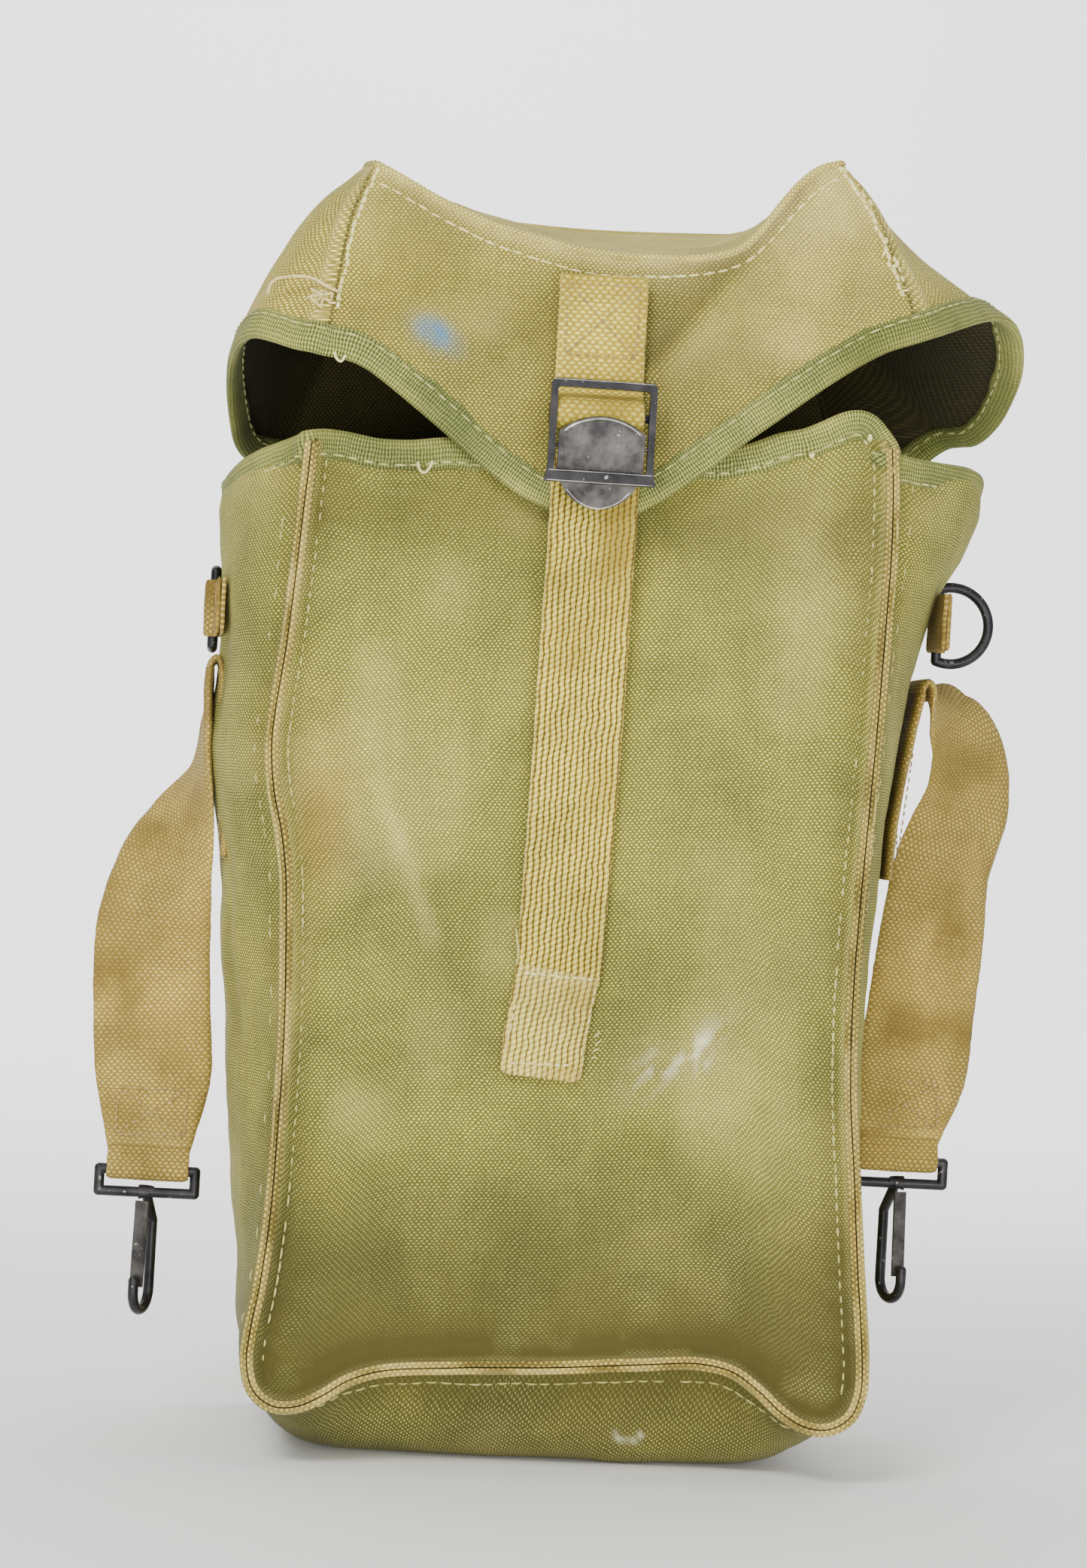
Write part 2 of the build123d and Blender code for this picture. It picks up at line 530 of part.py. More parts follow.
# ------------------------------------------------------------ closing strap
with BuildPart() as closing_strap_patch:
    with BuildSketch(Plane.XZ.offset(-front_y)):
        with Locations((patch_x, (patch_z0 + patch_z1) / 2)):
            RectangleRounded(25.0, patch_z1 - patch_z0, 2.4)
    extrude(amount=2 * web_t)
closing_strap_patch.part.label = "closing_strap_patch"
export_step(closing_strap_patch.part, "parts/closing_strap_patch.step")

with BuildPart() as closing_strap:
    with BuildSketch(Plane.YZ.offset(strap_x - strap_w / 2)):
        with BuildLine():
            Polyline((-55.2, 150.2), (-56.6, 150.2), (-62.9, 284.0), (-62.9, strap_z1), (-61.5, strap_z1), (-61.5, 284.0), (-55.2, 150.2))
        make_face()
    extrude(amount=strap_w)
closing_strap.part.label = "closing_strap"
export_step(closing_strap.part, "parts/closing_strap.step")

# ------------------------------------------------------------------ D-rings
with BuildPart() as d_ring_right:
    with BuildLine():
        r1 = Line((ring_r_x, 0, ring_r_z - ring_half), (ring_r_x, 0, ring_r_z + ring_half))
    with BuildSketch(Plane(origin=r1 @ 0, z_dir=r1 % 0)):
        Circle(ring_wire_r)
    sweep(path=r1)
    with BuildLine():
        r2 = ThreePointArc((ring_r_x, 0, ring_r_z - ring_half), (ring_r_x + ring_bow, 0, ring_r_z), (ring_r_x, 0, ring_r_z + ring_half))
    with BuildSketch(Plane(origin=r2 @ 0, z_dir=r2 % 0)):
        Circle(ring_wire_r)
    sweep(path=r2)
    with Locations((ring_r_x, 0, ring_r_z - ring_half), (ring_r_x, 0, ring_r_z + ring_half)):
        Sphere(ring_wire_r + 0.02)
d_ring_right.part.label = "d_ring_right"
export_step(d_ring_right.part, "parts/d_ring_right.step")

# the left ring lies folded back along the side
with BuildPart() as d_ring_left:
    with BuildLine():
        r3 = Line((ring_l_x, 0, ring_l_z - ring_half), (ring_l_x, 0, ring_l_z + ring_half))
    with BuildSketch(Plane(origin=r3 @ 0, z_dir=r3 % 0)):
        Circle(ring_wire_r)
    sweep(path=r3)
    with BuildLine():
        r4 = ThreePointArc((ring_l_x, 0, ring_l_z - ring_half), (ring_l_x, ring_bow, ring_l_z), (ring_l_x, 0, ring_l_z + ring_half))
    with BuildSketch(Plane(origin=r4 @ 0, z_dir=r4 % 0)):
        Circle(ring_wire_r)
    sweep(path=r4)
    with Locations((ring_l_x, 0, ring_l_z - ring_half), (ring_l_x, 0, ring_l_z + ring_half)):
        Sphere(ring_wire_r + 0.02)
d_ring_left.part.label = "d_ring_left"
export_step(d_ring_left.part, "parts/d_ring_left.step")

# webbing tabs: a loop round the ring's bar and two layers sewn to the side
with BuildPart() as ring_tab_right:
    with BuildSketch(Plane.XY.offset(ring_r_z - 8.8)):
        with BuildLine():
            Polyline((ring_r_x - 3.4, 0), (ring_r_x - 3.4, -24), (ring_r_x - 0.9, -24), (ring_r_x - 0.6, 0), (ring_r_x - 3.4, 0))
        make_face()
        with Locations((ring_r_x, 0)):
            Circle(ring_wire_r + tab_gap + web_t)
            Circle(ring_wire_r + tab_gap, mode=Mode.SUBTRACT)
    extrude(amount=17.6)
ring_tab_right.part.label = "ring_tab_right"
export_step(ring_tab_right.part, "parts/ring_tab_right.step")

with BuildPart() as ring_tab_left:
    with BuildSketch(Plane.XY.offset(ring_l_z - 8.8)):
        with BuildLine():
            Polyline((ring_l_x + 3.4, 0), (ring_l_x + 3.4, -24), (ring_l_x + 0.9, -24), (ring_l_x + 0.6, 0), (ring_l_x + 3.4, 0))
        make_face()
        with Locations((ring_l_x, 0)):
            Circle(ring_wire_r + tab_gap + web_t)
            Circle(ring_wire_r + tab_gap, mode=Mode.SUBTRACT)
    extrude(amount=17.6)
ring_tab_left.part.label = "ring_tab_left"
export_step(ring_tab_left.part, "parts/ring_tab_left.step")

# -------------------------------------------------------------- side straps
# sewn part, lying on the side
with BuildPart() as carry_base_left:
    with BuildSketch(Plane.XZ.offset(carry_w / 2)):
        with BuildLine():
            Polyline((-101.8, 176), (-104.6, 176), (-108.6, 232), (-105.9, 232), (-101.8, 176))
        make_face()
    extrude(amount=-carry_w)
carry_base_left.part.label = "carry_base_left"
export_step(carry_base_left.part, "parts/carry_base_left.step")

with BuildPart() as carry_base_right:
    with BuildSketch(Plane.XZ.offset(carry_w / 2)):
        with BuildLine():
            Polyline((97.5, 180), (100.3, 180), (101.0, 200), (107.6, 238), (104.8, 238), (98.2, 200), (97.5, 180))
        make_face()
    extrude(amount=-carry_w)
carry_base_right.part.label = "carry_base_right"
export_step(carry_base_right.part, "parts/carry_base_right.step")

# hanging part: a quarter turn in the webbing, then flat down to the hook
with BuildPart() as carry_strap_left:
    for z, x, turn in [(232.0, -111.6, 90), (204.0, -112.6, 84), (186.0, -118.2, 58), (169.0, -123.0, 32), (146.0, -124.6, 8)]:
        with BuildSketch(Plane.XY.offset(z)):
            with Locations((x, 0)):
                Rectangle(carry_w, carry_t, rotation=-turn)
    loft(ruled=True)
    with BuildSketch(Plane.XY.offset(146.0)):
        with Locations((-124.6, 0)):
            Rectangle(carry_w, carry_t, rotation=-8)
    with BuildSketch(Plane.XY.offset(108.0)):
        with Locations((-120.4, 0)):
            Rectangle(carry_w, carry_t)
    with BuildSketch(Plane.XY.offset(left_bar_z + 3.0)):
        with Locations((left_hook_x, 0)):
            Rectangle(carry_end_w, carry_t)
    loft(ruled=True)
    with BuildSketch(Plane.YZ.offset(left_hook_x - carry_end_w / 2)):
        with Locations((0, left_bar_z)):
            Circle(hook_wire_r + 0.3 + web_t)
    extrude(amount=carry_end_w)
    with BuildSketch(Plane.YZ.offset(left_hook_x - 13)):
        with Locations((0, left_bar_z)):
            Circle(hook_wire_r + 0.3)
    extrude(amount=26, mode=Mode.SUBTRACT)
carry_strap_left.part.label = "carry_strap_left"
export_step(carry_strap_left.part, "parts/carry_strap_left.step")

with BuildPart() as carry_strap_right:
    for z, x, turn in [(238.0, 110.4, 90), (226.0, 125.0, 45), (206.0, 126.2, 30), (184.0, 118.6, 25), (160.0, 116.8, 14)]:
        with BuildSketch(Plane.XY.offset(z)):
            with Locations((x, 0)):
                Rectangle(carry_w, carry_t, rotation=turn)
    loft(ruled=True)
    with BuildSketch(Plane.XY.offset(160.0)):
        with Locations((116.8, 0)):
            Rectangle(carry_w, carry_t, rotation=14)
    with BuildSketch(Plane.XY.offset(120.0)):
        with Locations((114.4, 0)):
            Rectangle(carry_w, carry_t, rotation=10)
    with BuildSketch(Plane.XY.offset(right_bar_z + 3.0)):
        with Locations((right_hook_x, 0)):
            Rectangle(carry_end_w, carry_t)
    loft(ruled=True)
    with BuildSketch(Plane.YZ.offset(right_hook_x - carry_end_w / 2)):
        with Locations((0, right_bar_z)):
            Circle(hook_wire_r + 0.3 + web_t)
    extrude(amount=carry_end_w)
    with BuildSketch(Plane.YZ.offset(right_hook_x - 13)):
        with Locations((0, right_bar_z)):
            Circle(hook_wire_r + 0.3)
    extrude(amount=26, mode=Mode.SUBTRACT)
carry_strap_right.part.label = "carry_strap_right"
export_step(carry_strap_right.part, "parts/carry_strap_right.step")

# --------------------------------------------------------------- snap hooks
hs, hc = math.sin(math.radians(hook_turn)), math.cos(math.radians(hook_turn))
for side, hx, hz, sx in (("left", left_hook_x, left_bar_z, 1.0), ("right", right_hook_x, right_bar_z, -1.0)):
    base_z = hz - slot_h
    # u runs from the gate to the shank, square to the hook's own bar
    ux, uy = sx * hs, hc
    eye = [(hx - eye_half, 0, hz), (hx + eye_half, 0, hz), (hx + eye_half, 0, base_z), (hx - eye_half, 0, base_z)]
    bend = 56.0 - 86.0 + base_z
    shank = [(hx, 0, base_z), (hx + ux * 6, uy * 6, base_z - 9.0), (hx + ux * 6, uy * 6, bend)]
    with BuildPart() as snap_hook:
        for i in range(4):
            with BuildLine():
                s = Line(eye[i], eye[(i + 1) % 4])
            with BuildSketch(Plane(origin=s @ 0, z_dir=s % 0)):
                Circle(hook_wire_r)
            sweep(path=s)
        for i in range(2):
            with BuildLine():
                s = Line(shank[i], shank[i + 1])
            with BuildSketch(Plane(origin=s @ 0, z_dir=s % 0)):
                Circle(hook_wire_r)
            sweep(path=s)
        with Locations(*eye, shank[1]):
            Sphere(hook_wire_r + 0.02)
        with BuildLine():
            s = ThreePointArc((hx + ux * 6, uy * 6, bend), (hx, 0, bend - 6), (hx - ux * 6, -uy * 6, bend))
        with BuildSketch(Plane(origin=s @ 0, z_dir=s % 0)):
            Circle(hook_wire_r)
        sweep(path=s)
        with BuildLine():
            s = Line((hx - ux * 6, -uy * 6, bend), (hx - ux * 6, -uy * 6, bend + 3.4))
        with BuildSketch(Plane(origin=s @ 0, z_dir=s % 0)):
            Circle(hook_wire_r)
        sweep(path=s)
        with Locations((hx - ux * 6, -uy * 6, bend + 3.4)):
            Sphere(hook_wire_r + 0.02)
    snap_hook.part.label = "snap_hook_" + side
    export_step(snap_hook.part, "parts/snap_hook_" + side + ".step")

    # strip folded round the eye's lower bar, holding the gate
    with BuildPart() as collar:
        with BuildSketch(Plane.YZ.offset(hx - 2.4)):
            with Locations((0, base_z)):
                Circle(hook_wire_r + 0.75)
                Circle(hook_wire_r + 0.01, mode=Mode.SUBTRACT)
        extrude(amount=4.8)
        with BuildSketch(Plane(origin=(hx, 0, 0), x_dir=(ux, uy, 0), z_dir=(uy, -ux, 0))):
            with BuildLine():
                Polyline((4.6, base_z - 14), (4.6, base_z + 3), (-0.2, base_z + 3), (-0.2, base_z + 0.3), (-1.9, base_z + 0.3), (-1.9, base_z - 14), (4.6, base_z - 14))
            make_face()
        extrude(amount=4, both=True, mode=Mode.SUBTRACT)
    collar.part.label = "snap_collar_" + side
    export_step(collar.part, "parts/snap_collar_" + side + ".step")

    # leaf gate: from under the collar down to the back of the hook's tip
    with BuildPart() as gate:
        with BuildSketch(Plane(origin=(hx, 0, 0), x_dir=(ux, uy, 0), z_dir=(uy, -ux, 0))):
            with BuildLine():
                Polyline((-2.4, base_z - 2.45), (-3.2, base_z - 2.45), (-4.3, bend + 1.4), (-3.5, bend + 1.4), (-2.4, base_z - 2.45))
            make_face()
        extrude(amount=2.1, both=True)
    gate.part.label = "snap_gate_" + side
    export_step(gate.part, "parts/snap_gate_" + side + ".step")
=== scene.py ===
import math
import bpy
import numpy as np
from mathutils import Matrix, Vector


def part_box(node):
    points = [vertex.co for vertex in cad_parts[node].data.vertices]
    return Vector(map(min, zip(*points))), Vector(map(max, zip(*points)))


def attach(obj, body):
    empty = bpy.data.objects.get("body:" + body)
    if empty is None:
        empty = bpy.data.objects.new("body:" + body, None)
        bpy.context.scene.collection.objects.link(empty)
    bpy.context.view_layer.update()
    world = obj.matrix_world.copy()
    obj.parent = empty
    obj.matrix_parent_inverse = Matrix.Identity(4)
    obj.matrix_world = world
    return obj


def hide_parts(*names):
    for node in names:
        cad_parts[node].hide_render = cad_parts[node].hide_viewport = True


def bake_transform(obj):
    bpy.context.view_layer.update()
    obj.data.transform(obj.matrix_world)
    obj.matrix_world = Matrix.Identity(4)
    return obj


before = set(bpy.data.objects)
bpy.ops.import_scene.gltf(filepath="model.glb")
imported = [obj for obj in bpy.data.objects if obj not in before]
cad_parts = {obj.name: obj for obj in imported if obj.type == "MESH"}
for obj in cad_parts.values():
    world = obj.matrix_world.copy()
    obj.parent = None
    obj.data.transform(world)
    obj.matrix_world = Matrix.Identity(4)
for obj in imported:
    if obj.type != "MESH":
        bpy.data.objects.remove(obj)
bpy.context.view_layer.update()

MM = 0.001
rng = np.random.default_rng(7)


# ------------------------------------------------------------------ helpers
def lin(r, g, b):
    """8-bit display colour to linear."""
    out = []
    for c in (r, g, b):
        c = c / 255.0
        out.append(c / 12.92 if c <= 0.04045 else ((c + 0.055) / 1.055) ** 2.4)
    return (*out, 1.0)


def smooth(t):
    t = np.clip(t, 0, 1)
    return t * t * (3 - 2 * t)


def vnoise(x, y, seed=0):
    """Smooth value noise in two dimensions, about -1 to 1."""
    x, y = np.asarray(x, float), np.asarray(y, float)
    xi, yi = np.floor(x).astype(np.int64), np.floor(y).astype(np.int64)
    fx, fy = x - xi, y - yi
    fx, fy = fx * fx * fx * (fx * (fx * 6 - 15) + 10), fy * fy * fy * (fy * (fy * 6 - 15) + 10)

    def h(a, b):
        n = (a * 374761393 + b * 668265263 + seed * 1442695041) & 0x7FFFFFFF
        n = ((n ^ (n >> 13)) * 1274126177) & 0x7FFFFFFF
        n = (n ^ (n >> 16)) & 0xFFFFFF
        return n / float(0xFFFFFF) * 2 - 1

    a = h(xi, yi) * (1 - fx) + h(xi + 1, yi) * fx
    b = h(xi, yi + 1) * (1 - fx) + h(xi + 1, yi + 1) * fx
    return a * (1 - fy) + b * fy


def path(points, n=None, step=None, closed=False):
    """A smooth line through the points (Catmull-Rom), evenly spaced."""
    p = np.asarray(points, float)
    if closed:
        q = np.vstack([p[-1], p, p[0], p[1]])
    else:
        q = np.vstack([2 * p[0] - p[1], p, 2 * p[-1] - p[-2]])
    out = []
    for i in range(1, len(q) - 2):
        p0, p1, p2, p3 = q[i - 1], q[i], q[i + 1], q[i + 2]
        d1 = max(np.linalg.norm(p1 - p0), 1e-6) ** 0.5
        d2 = max(np.linalg.norm(p2 - p1), 1e-6) ** 0.5
        d3 = max(np.linalg.norm(p3 - p2), 1e-6) ** 0.5
        m1 = (p1 - p0) / d1 - (p2 - p0) / (d1 + d2) + (p2 - p1) / d2
        m2 = (p2 - p1) / d2 - (p3 - p1) / (d2 + d3) + (p3 - p2) / d3
        m1, m2 = m1 * d2, m2 * d2
        t = np.linspace(0, 1, 24, endpoint=False)[:, None]
        out.append((2 * t**3 - 3 * t**2 + 1) * p1 + (t**3 - 2 * t**2 + t) * m1 + (-2 * t**3 + 3 * t**2) * p2 + (t**3 - t**2) * m2)
    out.append(q[-2][None])
    dense = np.vstack(out)
    seg = np.linalg.norm(np.diff(dense, axis=0), axis=1)
    s = np.concatenate([[0], np.cumsum(seg)])
    if n is None:
        n = max(3, int(round(s[-1] / step)) + 1)
    w = np.linspace(0, s[-1], n)
    return np.stack([np.interp(w, s, dense[:, k]) for k in range(dense.shape[1])], 1)


def length(p):
    return float(np.linalg.norm(np.diff(p, axis=0), axis=1).sum())


def make(name, verts, faces, mat, attrs=None, smooth_shade=True, sharp=None):
    me = bpy.data.meshes.new(name)
    v = np.asarray(verts, float) * MM
    me.from_pydata(v.tolist(), [], [tuple(int(i) for i in f) for f in faces])
    me.update()
    for key, val in (attrs or {}).items():
        val = np.asarray(val, np.float32)
        if val.ndim == 2:
            a = me.attributes.new(key, "FLOAT_VECTOR", "POINT")
            a.data.foreach_set("vector", val.ravel())
        else:
            a = me.attributes.new(key, "FLOAT", "POINT")
            a.data.foreach_set("value", val)
    me.polygons.foreach_set("use_smooth", [smooth_shade] * len(me.polygons))
    if mat is not None:
        me.materials.append(mat)
    ob = bpy.data.objects.new(name, me)
    bpy.context.scene.collection.objects.link(ob)
    return ob


def normals(P):
    du = np.gradient(P, axis=0)
    dv = np.gradient(P, axis=1)
    n = np.cross(du, dv)
    return n / np.maximum(np.linalg.norm(n, axis=2, keepdims=True), 1e-9)


def grid_uv(P):
    """Lengths along both directions of a grid, in millimetres."""
    du = np.linalg.norm(np.diff(P, axis=0), axis=2)
    dv = np.linalg.norm(np.diff(P, axis=1), axis=2)
    u = np.concatenate([np.zeros((1, P.shape[1])), np.cumsum(du, 0)])
    v = np.concatenate([np.zeros((P.shape[0], 1)), np.cumsum(dv, 1)], 1)
    u = np.broadcast_to(u.mean(1, keepdims=True), u.shape)
    v = np.broadcast_to(v.mean(0, keepdims=True), v.shape)
    return u, v


def shell(name, P, t, mat, wv=None, attrs=None, flip=False, round_rim=0.4):
    """Cloth of thickness t on the grid P: both faces and a rounded rim."""
    m, n = P.shape[:2]
    N = normals(P) * (-1 if flip else 1)
    if wv is None:
        wv = grid_uv(P)
    out, inn = P + N * t / 2, P - N * t / 2
    idx = np.arange(m * n).reshape(m, n)
    a, b, c, d = idx[:-1, :-1].ravel(), idx[1:, :-1].ravel(), idx[1:, 1:].ravel(), idx[:-1, 1:].ravel()
    f1 = np.stack([a, b, c, d], 1) if not flip else np.stack([a, d, c, b], 1)
    f2 = f1[:, ::-1] + m * n
    ring = [(i, 0) for i in range(m)] + [(m - 1, j) for j in range(1, n)] + [(i, n - 1) for i in range(m - 2, -1, -1)] + [(0, j) for j in range(n - 2, 0, -1)]
    ri = np.array([r[0] for r in ring]); rj = np.array([r[1] for r in ring])
    ii = np.clip(ri, 1, m - 2); jj = np.clip(rj, 1, n - 2)
    o = P[ri, rj] - P[ii, jj]
    o /= np.maximum(np.linalg.norm(o, axis=1, keepdims=True), 1e-9)
    mid = P[ri, rj] + o * t * round_rim
    base = 2 * m * n
    k = len(ring)
    flat = ri * n + rj
    nxt = np.roll(np.arange(k), -1)
    s1 = np.stack([flat, base + np.arange(k), base + nxt, flat[nxt]], 1)
    s2 = np.stack([base + np.arange(k), flat + m * n, flat[nxt] + m * n, base + nxt], 1)
    if flip:
        s1, s2 = s1[:, ::-1], s2[:, ::-1]
    # rim direction: make faces point outwards
    verts = np.vstack([out.reshape(-1, 3), inn.reshape(-1, 3), mid])
    faces = np.vstack([f1, f2, s1[:, ::-1], s2[:, ::-1]])
    W = np.stack([wv[0].ravel(), wv[1].ravel(), np.zeros(m * n)], 1)
    # the inner face is flagged 'inner'; cloth_mat darkens it as painted shade for the dark inside of the bag and flap
    data = {"wv": np.vstack([W, W, W[flat]]), "inner": np.concatenate([np.zeros(m * n), np.ones(m * n), np.zeros(k)])}
    for key, val in (attrs or {}).items():
        val = np.asarray(val, float).ravel()
        data[key] = np.concatenate([val, val, val[flat]])
    ob = make(name, verts, faces, mat, data)
    return ob


def declare(P, extra=(0.0, 0.0)):
    """Works out the size a cloth piece was cut to: its own width and length, plus what is turned in at the seams. The
    result is not kept or returned.
    """
    du = np.linalg.norm(np.diff(P, axis=0), axis=2).sum(0)
    dv = np.linalg.norm(np.diff(P, axis=1), axis=2).sum(1)
    w, l = (float(du.max()) + extra[0]) * MM, (float(dv.max()) + extra[1]) * MM
    w, l = round(w, 3), round(l, 3)


def frames_along(p, up):
    """Tangent, width and normal along a line; up is roughly the normal, one or per point."""
    T = np.gradient(p, axis=0)
    T /= np.maximum(np.linalg.norm(T, axis=1, keepdims=True), 1e-9)
    U = np.broadcast_to(np.asarray(up, float), p.shape).copy()
    U -= T * (U * T).sum(1, keepdims=True)
    U /= np.maximum(np.linalg.norm(U, axis=1, keepdims=True), 1e-9)
    W = np.cross(T, U)
    return T, W, U


def tube(name, p, prof, W, U, mat, closed=False, attrs=None, caps=True, along0=0.0, scale=None):
    """Sweeps a closed profile (k, 2) of (width, normal) offsets along p."""
    prof = np.asarray(prof, float)
    n, k = len(p), len(prof)
    sc = np.ones(n) if scale is None else np.asarray(scale)
    V = p[:, None] + (W[:, None] * prof[None, :, :1] + U[:, None] * prof[None, :, 1:]) * sc[:, None, None]
    idx = np.arange(n * k).reshape(n, k)
    rows = n if closed else n - 1
    faces = []
    for i in range(rows):
        a, b = idx[i], idx[(i + 1) % n]
        for j in range(k):
            j2 = (j + 1) % k
            faces.append((a[j], a[j2], b[j2], b[j]))
    s = np.concatenate([[0], np.cumsum(np.linalg.norm(np.diff(p, axis=0), axis=1))]) + along0
    pl = np.concatenate([[0], np.cumsum(np.linalg.norm(np.diff(prof, axis=0), axis=1))])
    verts = V.reshape(-1, 3)
    wv = np.stack([np.repeat(s, k), np.tile(pl, n), np.zeros(n * k)], 1)
    data = {"wv": wv}
    for key, val in (attrs or {}).items():
        val = np.asarray(val, float)
        data[key] = np.repeat(val, k) if val.shape == (n,) else np.tile(val, n) if val.shape == (k,) else val.ravel()
    if caps and not closed:
        faces.append(tuple(idx[0][::-1]))
        faces.append(tuple(idx[-1]))
    return make(name, verts, faces, mat, data)


def circle(r, k=10):
    a = np.linspace(0, 2 * math.pi, k, endpoint=False)
    return np.stack([r * np.cos(a), r * np.sin(a)], 1)


def wire(name, p, r, mat, k=10, closed=False, up=(0.3, 0.2, 1.0)):
    T, W, U = frames_along(p, up)
    return tube(name, p, circle(r, k), W, U, mat, closed=closed)


def merge(name, obs):
    """Joins meshes into one piece."""
    for o in bpy.context.selected_objects:
        o.select_set(False)
    for o in obs:
        o.select_set(True)
    bpy.context.view_layer.objects.active = obs[0]
    bpy.ops.object.join()
    o = bpy.context.view_layer.objects.active
    o.name = name
    o.data.name = name
    o.select_set(False)
    return o


def stitches(name, p, nrm, mat, pitch=3.2, run=2.2, r=0.3, lift=0.12, wob=0.1, seed=1, drop=0.0):
    """Thread dashes along a line that lies on a surface."""
    g = np.random.default_rng(seed)
    total = length(p)
    s = np.concatenate([[0], np.cumsum(np.linalg.norm(np.diff(p, axis=0), axis=1))])
    nrm = np.broadcast_to(np.asarray(nrm, float), p.shape)
    V, F = [], []
    k, m = 6, 5
    at = pitch * 0.3
    while at + run < total:
        if g.random() >= drop:
            a = at + g.uniform(-0.15, 0.15)
            ln = run * g.uniform(0.85, 1.1)
            ss = np.linspace(a, a + ln, m)
            c = np.stack([np.interp(ss, s, p[:, q]) for q in range(3)], 1)
            nn = np.stack([np.interp(ss, s, nrm[:, q]) for q in range(3)], 1)
            nn /= np.maximum(np.linalg.norm(nn, axis=1, keepdims=True), 1e-9)
            T = c[-1] - c[0]
            T /= max(np.linalg.norm(T), 1e-9)
            side = np.cross(T, nn)
            side /= np.maximum(np.linalg.norm(side, axis=1, keepdims=True), 1e-9)
            arch = np.sin(np.linspace(0.12, math.pi - 0.12, m))
            c = c + nn * (lift + r * 0.7 * arch - r * 0.45)[:, None] + side * g.uniform(-wob, wob)
            rad = r * (0.45 + 0.55 * arch)
            base = len(V)
            for q in range(m):
                for j in range(k):
                    ang = 2 * math.pi * j / k
                    V.append(c[q] + side[q] * math.cos(ang) * rad[q] + nn[q] * math.sin(ang) * rad[q] * 0.8)
            for q in range(m - 1):
                for j in range(k):
                    j2 = (j + 1) % k
                    F.append((base + q * k + j, base + q * k + j2, base + (q + 1) * k + j2, base + (q + 1) * k + j))
            F.append(tuple(base + j for j in range(k))[::-1])
            F.append(tuple(base + (m - 1) * k + j for j in range(k)))
        at += pitch
    V = np.array(V)
    return make(name, V, F, mat, {"wv": V * 1.0})


def coons(c0, c1, d0, d1):
    """Surface between four edge lines: c0, c1 along u at v=0, 1; d0, d1 along v at u=0, 1."""
    m, n = len(c0), len(d0)
    u = np.linspace(0, 1, m)[:, None, None]
    v = np.linspace(0, 1, n)[None, :, None]
    L1 = (1 - v) * c0[:, None] + v * c1[:, None]
    L2 = (1 - u) * d0[None] + u * d1[None]
    B = (1 - u) * (1 - v) * c0[0] + u * (1 - v) * c0[-1] + (1 - u) * v * c1[0] + u * v * c1[-1]
    return L1 + L2 - B


def to_line(pts, line):
    """Distance of 2D points to a polyline, and the place along it."""
    shape = pts.shape[:-1]
    q = pts.reshape(-1, 2)
    a, b = line[:-1], line[1:]
    ab = b - a
    L2 = np.maximum((ab**2).sum(1), 1e-12)
    best = np.full(len(q), 1e9)
    where = np.zeros(len(q))
    seg = np.sqrt(L2)
    s0 = np.concatenate([[0], np.cumsum(seg)[:-1]])
    for i in range(len(a)):
        t = np.clip(((q - a[i]) @ ab[i]) / L2[i], 0, 1)
        d = np.linalg.norm(q - (a[i] + t[:, None] * ab[i]), axis=1)
        w = d < best
        best = np.where(w, d, best)
        where = np.where(w, s0[i] + t * seg[i], where)
    return best.reshape(shape), where.reshape(shape)


# ---------------------------------------------------------------- materials
def new_mat(name):
    m = bpy.data.materials.new(name)
    m.use_nodes = True
    nt = m.node_tree
    bsdf = nt.nodes["Principled BSDF"]
    return m, nt, bsdf


class G:
    """Small helper for building node graphs."""

    def __init__(self, nt):
        self.nt = nt

    def n(self, kind, **props):
        node = self.nt.nodes.new(kind)
        for k, v in props.items():
            setattr(node, k, v)
        return node

    def link(self, a, b):
        self.nt.links.new(a, b)

    def math(self, op, a, b=None, c=None, clamp=False):
        node = self.n("ShaderNodeMath", operation=op, use_clamp=clamp)
        for i, x in enumerate((a, b, c)):
            if x is None:
                continue
            if isinstance(x, (int, float)):
                node.inputs[i].default_value = x
            else:
                self.link(x, node.inputs[i])
        return node.outputs[0]

    def attr(self, name):
        node = self.n("ShaderNodeAttribute", attribute_name=name)
        return node

    def noise(self, vec, scale, detail=3.0, rough=0.55, dist=0.0):
        node = self.n("ShaderNodeTexNoise")
        node.inputs["Scale"].default_value = scale
        node.inputs["Detail"].default_value = detail
        node.inputs["Roughness"].default_value = rough
        node.inputs["Distortion"].default_value = dist
        self.link(vec, node.inputs["Vector"])
        return node.outputs["Fac"]

    def ramp(self, fac, stops):
        node = self.n("ShaderNodeValToRGB")
        el = node.color_ramp.elements
        while len(el) > len(stops):
            el.remove(el[-1])
        while len(el) < len(stops):
            el.new(0.5)
        for e, (pos, col) in zip(el, stops):
            e.position = pos
            e.color = col if len(col) == 4 else (*col, 1.0)
        self.link(fac, node.inputs["Fac"])
        return node.outputs["Color"]

    def mix(self, fac, a, b, blend="MIX"):
        node = self.n("ShaderNodeMix", data_type="RGBA", blend_type=blend)
        if isinstance(fac, (int, float)):
            node.inputs[0].default_value = fac
        else:
            self.link(fac, node.inputs[0])
        for sock, x in ((node.inputs[6], a), (node.inputs[7], b)):
            if isinstance(x, tuple):
                sock.default_value = x
            else:
                self.link(x, sock)
        return node.outputs[2]

    def combine(self, x, y, z=0.0):
        node = self.n("ShaderNodeCombineXYZ")
        for s, v in zip(node.inputs, (x, y, z)):
            if isinstance(v, (int, float)):
                s.default_value = v
            else:
                self.link(v, s)
        return node.outputs[0]


